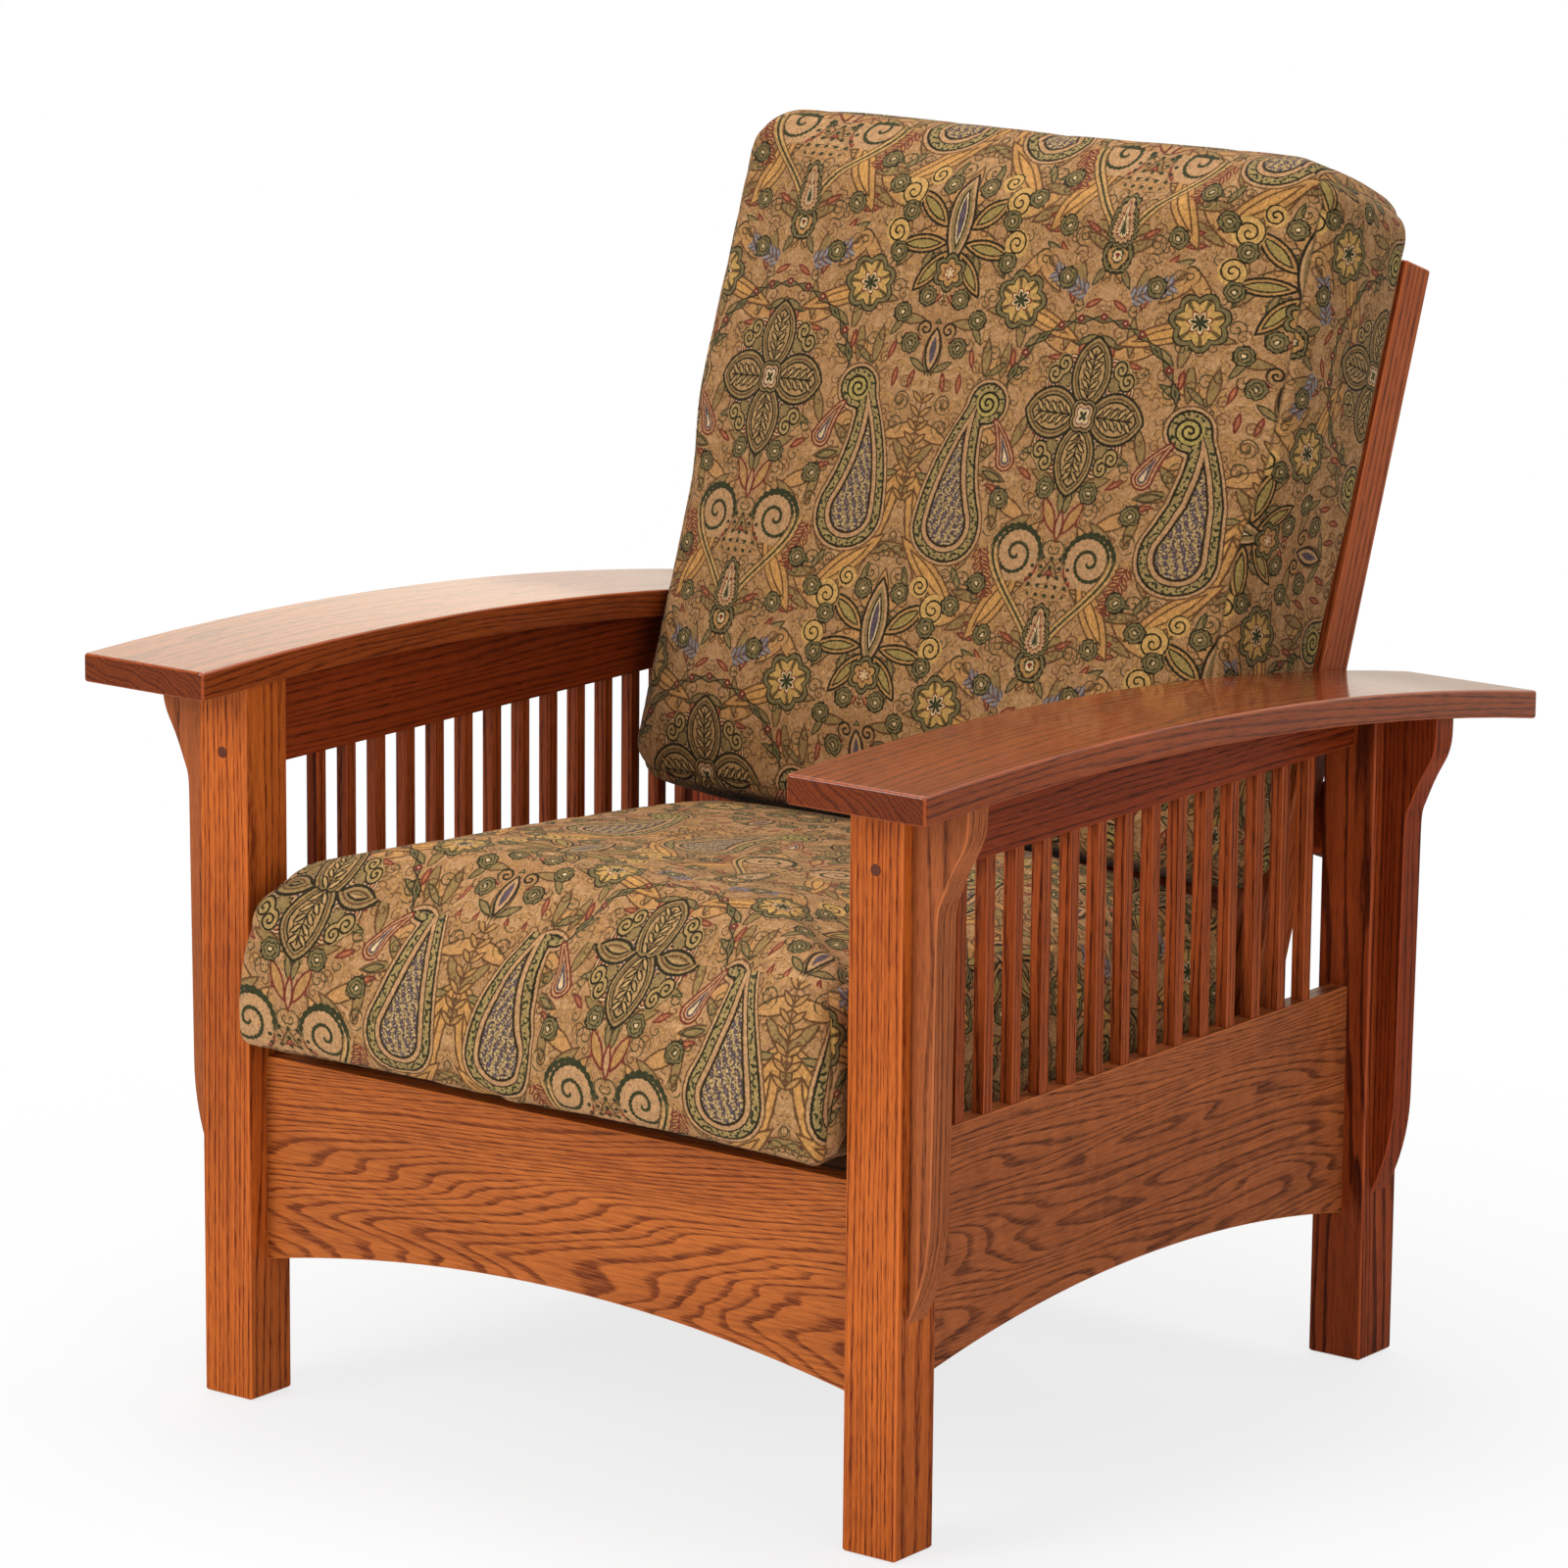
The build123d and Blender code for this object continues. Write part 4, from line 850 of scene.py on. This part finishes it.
def rounded_block(name, half, radius, low_share, plan, step, crown, draw, print_at, wrap, belly):
    """Closed cushion of even quads in a local frame: X across, Y along, Z out of it.

    The six sides are grids of squares of about one step that share their border points.
    The edges round off by radius above and low_share of it below, and the corners seen
    from above by plan. crown is how far the filling lifts the upper and the under face,
    with belly more of it towards the near end. draw is how far the sides come in at the
    middle of their length, across and along, and go out at the middle of their height.
    print_at shifts the pattern. wrap is the end that the cover's big panel runs over
    without a seam: -1 the near end, 1 the far one. Returns the cushion and each point's
    distance from a seam.
    """
    counts = [max(4, int(round(2 * h / step))) for h in half]
    index = {}
    points = []
    faces = []
    kinds = []

    def point(key):
        if key not in index:
            index[key] = len(points)
            flat = Vector([-h + 2 * h * k / n for h, k, n in zip(half, key, counts)])
            p = rounded_point(flat, half, radius, low_share, plan)
            points.append(filled_point(p, half, crown, draw, belly))
        return index[key]

    for axis in range(3):
        a, b = [i for i in range(3) if i != axis]
        for end in (0, counts[axis]):
            for i in range(counts[a]):
                for j in range(counts[b]):
                    quad = []
                    for di, dj in ((0, 0), (1, 0), (1, 1), (0, 1)):
                        key = [0, 0, 0]
                        key[axis] = end
                        key[a] = i + di
                        key[b] = j + dj
                        quad.append(point(tuple(key)))
                    flip = (end == 0) != (axis == 1)
                    faces.append(quad[::-1] if flip else quad)
                    kinds.append(axis * 2 + (end > 0))
    mesh = bpy.data.meshes.new(name)
    mesh.from_pydata([tuple(p) for p in points], [], faces)
    uv = mesh.uv_layers.new(name="fabric")
    for poly, kind in zip(mesh.polygons, kinds):
        poly.use_smooth = True
        for li in poly.loop_indices:
            u, v = print_spots(points[mesh.loops[li].vertex_index], half)[kind]
            uv.data[li].uv = (u + print_at[0], v + print_at[1])

    cell = [2 * h / n for h, n in zip(half, counts)]
    away = [seam_distance(key, counts, cell, wrap) for key in index]
    mesh.attributes.new("seam", "FLOAT", "POINT").data.foreach_set("value", away)
    obj = bpy.data.objects.new(name, mesh)
    scene.collection.objects.link(obj)
    return obj, np.array(away)


def co_array(mesh):
    flat = np.empty(len(mesh.vertices) * 3)
    mesh.vertices.foreach_get("co", flat)
    return flat.reshape(-1, 3)


def set_co(mesh, co):
    mesh.vertices.foreach_set("co", co.ravel())
    mesh.update()


def smooth_step(values):
    """Shares held between 0 and 1 and eased at both ends."""
    share = np.clip(values, 0, 1)
    return share * share * (3 - 2 * share)


def puff(obj, away, cap, drawn, pressure=4.0, frames=20):
    """Blow the cover up as cloth, held back along its seams.

    No point moves further than cap. drawn is the share that stays of each pull towards
    the cushion's middle, because the filling keeps the boxed edge out.
    """
    mesh = obj.data
    start = co_array(mesh)
    group = obj.vertex_groups.new(name="hold")
    for i in np.nonzero(away < 0.001)[0]:
        group.add([int(i)], 0.55, "REPLACE")
    cloth = obj.modifiers.new("cloth", "CLOTH")
    settings = cloth.settings
    settings.quality = 4
    settings.mass = 0.35
    settings.tension_stiffness = 18.0
    settings.compression_stiffness = 18.0
    settings.shear_stiffness = 8.0
    settings.bending_stiffness = 0.8
    settings.use_pressure = True
    settings.uniform_pressure_force = pressure
    settings.shrink_min = -0.004
    settings.vertex_group_mass = "hold"
    settings.pin_stiffness = 0.6
    settings.effector_weights.gravity = 0.0
    cloth.collision_settings.use_collision = False
    cloth.point_cache.frame_start = 1
    cloth.point_cache.frame_end = frames
    for number in range(1, frames + 1):
        scene.frame_set(number)
    graph = bpy.context.evaluated_depsgraph_get()
    blown = co_array(obj.evaluated_get(graph).data)
    obj.modifiers.remove(cloth)
    obj.vertex_groups.remove(group)
    scene.frame_set(1)
    move = blown - start
    for axis in (0, 1):
        outward = np.sign(start[:, axis])
        inward = np.minimum(move[:, axis] * outward, 0.0)
        move[:, axis] -= outward * inward * (1 - drawn)
    size = np.linalg.norm(move, axis=1, keepdims=True)
    move *= np.minimum(1.0, cap / np.maximum(size, 1e-9))
    set_co(mesh, start + move)


SEAM_REACH = 0.055
PUCKER_FADE = 0.016
GROOVE_DEPTH = 0.0028
GROOVE_WIDTH = 0.0035


def gather(obj, away, depth, length):
    """Small puckers that run off the seams, and the groove of the seam itself."""
    mesh = obj.data
    normals = np.empty(len(mesh.vertices) * 3)
    mesh.vertices.foreach_get("normal", normals)
    normals = normals.reshape(-1, 3)
    co = co_array(mesh)
    push = np.zeros(len(co))
    for i in np.nonzero(away < SEAM_REACH)[0]:
        spot = Vector(co[i])
        wave = noise.noise(spot / length) + 0.5 * noise.noise(spot * 2.3 / length)
        here = noise.noise(spot * 6.0 + Vector((3.1, 0, 0)))
        push[i] = wave * depth * math.exp(-away[i] / PUCKER_FADE) * (0.55 + here)
    push -= GROOVE_DEPTH * np.exp(-away / GROOVE_WIDTH)
    set_co(mesh, co + normals * push[:, None])


def settle(obj, low, high, margin=0.006):
    """Keep the cover inside its room, softly: it slows down over the last margin."""
    co = co_array(obj.data)
    for axis in range(3):
        value = co[:, axis]
        for limit, sign in ((low[axis], -1), (high[axis], 1)):
            over = (value - limit) * sign + margin
            soft = np.where(over > 0, margin * (1 - np.exp(-np.maximum(over, 0) / margin)), over)
            value = limit + sign * (soft - margin)
        co[:, axis] = value
    set_co(obj.data, co)


def spread_front(obj):
    """Ahead of the front posts the seat cushion bulges out to both sides, and sags a little."""
    co = co_array(obj.data)
    posts_at = -0.277
    half_width = 0.30
    bulge = 0.024
    forward = 0.006
    sag = 0.007
    ahead = smooth_step((posts_at - co[:, 1]) / 0.026)
    outward = np.clip(np.abs(co[:, 0]) / half_width, 0, 1) ** 6
    under = np.clip(0.5 - co[:, 2] / 0.10, 0, 1)
    co[:, 0] += np.sign(co[:, 0]) * bulge * ahead * outward
    co[:, 1] -= forward * ahead
    co[:, 2] -= sag * ahead * under
    set_co(obj.data, co)


def spread_top(obj, lift):
    """Above the arms the back cushion bulges out of the room between them, most at its front.

    lift is how far its filling holds up the middle of its top edge.
    """
    co = co_array(obj.data)
    half_width = 0.29
    bulge = 0.013
    above = smooth_step((co[:, 1] + 0.050) / 0.110)
    outward = np.clip(np.abs(co[:, 0]) / half_width, 0, 1) ** 3
    forward = 0.25 + 0.75 * np.clip((co[:, 2] + 0.070) / 0.090, 0, 1)
    co[:, 0] += np.sign(co[:, 0]) * bulge * above * outward * forward
    top = smooth_step((co[:, 1] - 0.160) / 0.130)
    middle = np.clip(1 - (co[:, 0] / half_width) ** 2, 0, 1)
    co[:, 1] += lift * top * middle
    set_co(obj.data, co)


def leaning(origin, turn, middle):
    """Matrix of a cushion around its middle, in a frame turned about X at an origin."""
    return Matrix.Translation(origin) @ Matrix.Rotation(turn, 4, "X") @ Matrix.Translation(middle)


SEAT_FRONT = Vector((0, -0.019 + SHIFT_Y, 0.312))
STEP = 0.007
MOST_PUFF = 0.022
PUCKER_DEPTH = 0.0022
PUCKER_LENGTH = 0.020

# low and high are the room of each cover, around its middle
covers = {
    "seat_cushion": dict(
        half=(0.299, 0.300, 0.078), radius=(0.036, 0.050, 0.046), low_share=0.42, plan=0.030,
        crown=(0.027, 0.001), draw=(0.004, 0.003, 0.004), print_at=(0.234, 0.162), wrap=-1,
        # painted light: the seat's cloth is painted 1.16 times paler than the back's, for the brighter
        # light on the seat
        belly=0.0, painted_light_gain=1.16, drawn=1.0,
        place=leaning(SEAT_FRONT, -SEAT_SLOPE, Vector((0, 0.297, 0.0815))),
        low=(-0.3078, -0.320, -0.0812), high=(0.3078, 0.3040, 0.1085)),
    "back_cushion": dict(
        half=(0.2925, 0.304, 0.083), radius=(0.022, 0.028, 0.025), low_share=0.8, plan=0.042,
        crown=(0.015, 0.001), draw=(-0.001, 0.002, 0.003), print_at=(0.202, 0.155), wrap=1,
        belly=0.6, painted_light_gain=1.0, drawn=0.2,
        place=leaning(PIVOT, math.pi / 2 - BACK_LEAN, Vector((0, 0.1886 + 0.3030, 0.0209 + 0.0865))),
        low=(-0.2975, -0.3050, -0.0862), high=(0.2975, 0.3140, 0.110)),
}
for node, spec in covers.items():
    cover, away = rounded_block(
        node + "_cover", spec["half"], spec["radius"], spec["low_share"], spec["plan"], STEP,
        spec["crown"], spec["draw"], spec["print_at"], spec["wrap"], spec["belly"])
    puff(cover, away, MOST_PUFF, spec["drawn"])
    gather(cover, away, PUCKER_DEPTH, PUCKER_LENGTH)
    settle(cover, spec["low"], spec["high"])
    if spec["wrap"] < 0:
        spread_front(cover)
    else:
        spread_top(cover, 0.009)
    cover.data.transform(spec["place"])
    cover.data.materials.append(tapestry_material("tapestry_" + node, spec["painted_light_gain"]))
    smooth = cover.modifiers.new("smooth", "SUBSURF")
    smooth.levels = smooth.render_levels = 1
    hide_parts(node)
    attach(cover, node)

def lit(tree, kind, strength, colour=(1.0, 1.0, 1.0)):
    """Output of an emission or background node."""
    node = tree.nodes.new(kind)
    node.inputs[0].default_value = (*colour, 1.0)
    node.inputs[1].default_value = strength
    return node.outputs[0]


def blend_by(tree, factor, first, second):
    """Output of a node that mixes two shaders."""
    node = tree.nodes.new("ShaderNodeMixShader")
    for socket, source in zip(node.inputs, (factor, first, second)):
        tree.links.new(source, socket)
    return node.outputs[0]


def white_floor():
    """Floor that the camera sees as white around the chair, dim and warm where it is mirrored."""
    g = Graph("floor_white")
    rays = g.node("ShaderNodeLightPath").outputs
    fx, fy, _ = g.xyz(g.node("ShaderNodeNewGeometry").outputs["Position"])
    spread = (fx * fx + fy * fy).sqrt()
    seen = S(g, rays["Is Camera Ray"]) * g.smooth(spread, 0.45, 1.25, 0.78, 1.0)
    diffuse = g.node("ShaderNodeBsdfDiffuse")
    diffuse.inputs[0].default_value = (0.8, 0.8, 0.8, 1)
    white = lit(g.tree, "ShaderNodeEmission", 1.0)
    blend = blend_by(g.tree, seen.s, diffuse.outputs[0], white)
    shown = g.node("ShaderNodeEmission")
    shown.inputs[0].default_value = (1.0, 0.90, 0.76, 1)
    g.put(shown.inputs[1], g.smooth(fy, 1.2, 3.6, 0.20, 0.66))
    out = g.node("ShaderNodeOutputMaterial")
    g.put(out.inputs[0], blend_by(g.tree, rays["Is Glossy Ray"], blend, shown.outputs[0]))
    return g.mat


FLOOR_HALF = 12.0
floor_mesh = bpy.data.meshes.new("floor")
corners = [(x * FLOOR_HALF, y * FLOOR_HALF, 0.0) for x, y in ((-1, -1), (1, -1), (1, 1), (-1, 1))]
floor_mesh.from_pydata(corners, [], [(0, 1, 2, 3)])
floor = bpy.data.objects.new("floor", floor_mesh)
scene.collection.objects.link(floor)
floor_mesh.materials.append(white_floor())


def studio(tree):
    """White to the camera, soft light for the chair, and a bright low backdrop to mirror."""
    tree.nodes.clear()
    rays = tree.nodes.new("ShaderNodeLightPath").outputs
    split = tree.nodes.new("ShaderNodeSeparateXYZ")
    tree.links.new(tree.nodes.new("ShaderNodeTexCoord").outputs["Generated"], split.inputs[0])

    def past(axis, low, high):
        node = tree.nodes.new("ShaderNodeMapRange")
        node.interpolation_type = "SMOOTHSTEP"
        node.inputs[1].default_value = low
        node.inputs[2].default_value = high
        tree.links.new(split.outputs[axis], node.inputs[0])
        return node.outputs[0]

    def background(strength, colour=(1.0, 1.0, 1.0)):
        return lit(tree, "ShaderNodeBackground", strength, colour)

    backdrop = blend_by(tree, past(2, 0.42, 0.75), background(0.95, (1.0, 0.92, 0.80)), background(0.30))
    mirrored = blend_by(tree, past(1, -0.2, 0.6), background(0.10), backdrop)
    ambient = background(0.40, (1.0, 0.985, 0.96))
    seen_by_object = blend_by(tree, rays["Is Glossy Ray"], ambient, mirrored)
    everything = blend_by(tree, rays["Is Camera Ray"], seen_by_object, background(1.0))
    tree.links.new(everything, tree.nodes.new("ShaderNodeOutputWorld").inputs[0])


scene.world = bpy.data.worlds.new("studio")
scene.world.use_nodes = True
studio(scene.world.node_tree)


def area(name, place, target, size, power, colour=(1, 1, 1)):
    """Soft light of one size that shines at a target."""
    light = bpy.data.lights.new(name, "AREA")
    light.shape = "RECTANGLE"
    light.size, light.size_y = size
    light.energy = power
    light.color = colour
    obj = bpy.data.objects.new(name, light)
    obj.location = place
    obj.rotation_euler = (Vector(target) - Vector(place)).to_track_quat("-Z", "Y").to_euler()
    scene.collection.objects.link(obj)
    return obj


area("key", (-1.5, -4.3, 2.4), (0, 0, 0.5), (2.4, 2.4), 128)
area("top", (-0.4, 0.8, 3.6), (0, 0, 0.5), (2.6, 2.6), 94)
area("fill", (3.3, -1.6, 1.5), (0, 0, 0.4), (2.0, 2.0), 33)
low = area("low_behind", (-3.5, 3.9, 1.75), (-0.35, 0, 0.6), (3.4, 1.7), 11, (1.0, 0.80, 0.54))
low.visible_camera = False

# The camera that took the photograph: lens in millimetres, angles in degrees
FOCAL_LENGTH = 157.17
AZIMUTH = 36.948
ELEVATION = 12.570
ROLL = 0.509
CAMERA_AT = (3.3571, -4.1363 + SHIFT_Y, 1.7663)

camera_data = bpy.data.cameras.new("photo_camera")
camera_data.lens = FOCAL_LENGTH
camera_data.sensor_width = 36.0
camera_data.sensor_fit = "HORIZONTAL"
camera_data.clip_start = 0.1
camera_data.clip_end = 60.0
camera = bpy.data.objects.new("photo_camera", camera_data)
az, el, roll = (math.radians(v) for v in (AZIMUTH, ELEVATION, ROLL))
back_axis = Vector((math.sin(az) * math.cos(el), -math.cos(az) * math.cos(el), math.sin(el)))
right = Vector((math.cos(az), math.sin(az), 0.0))
up = back_axis.cross(right)
axes = Matrix((right * math.cos(roll) + up * math.sin(roll),
               -right * math.sin(roll) + up * math.cos(roll), back_axis)).transposed()
camera.matrix_world = Matrix.Translation(CAMERA_AT) @ axes.to_4x4()
scene.collection.objects.link(camera)
scene.camera = camera
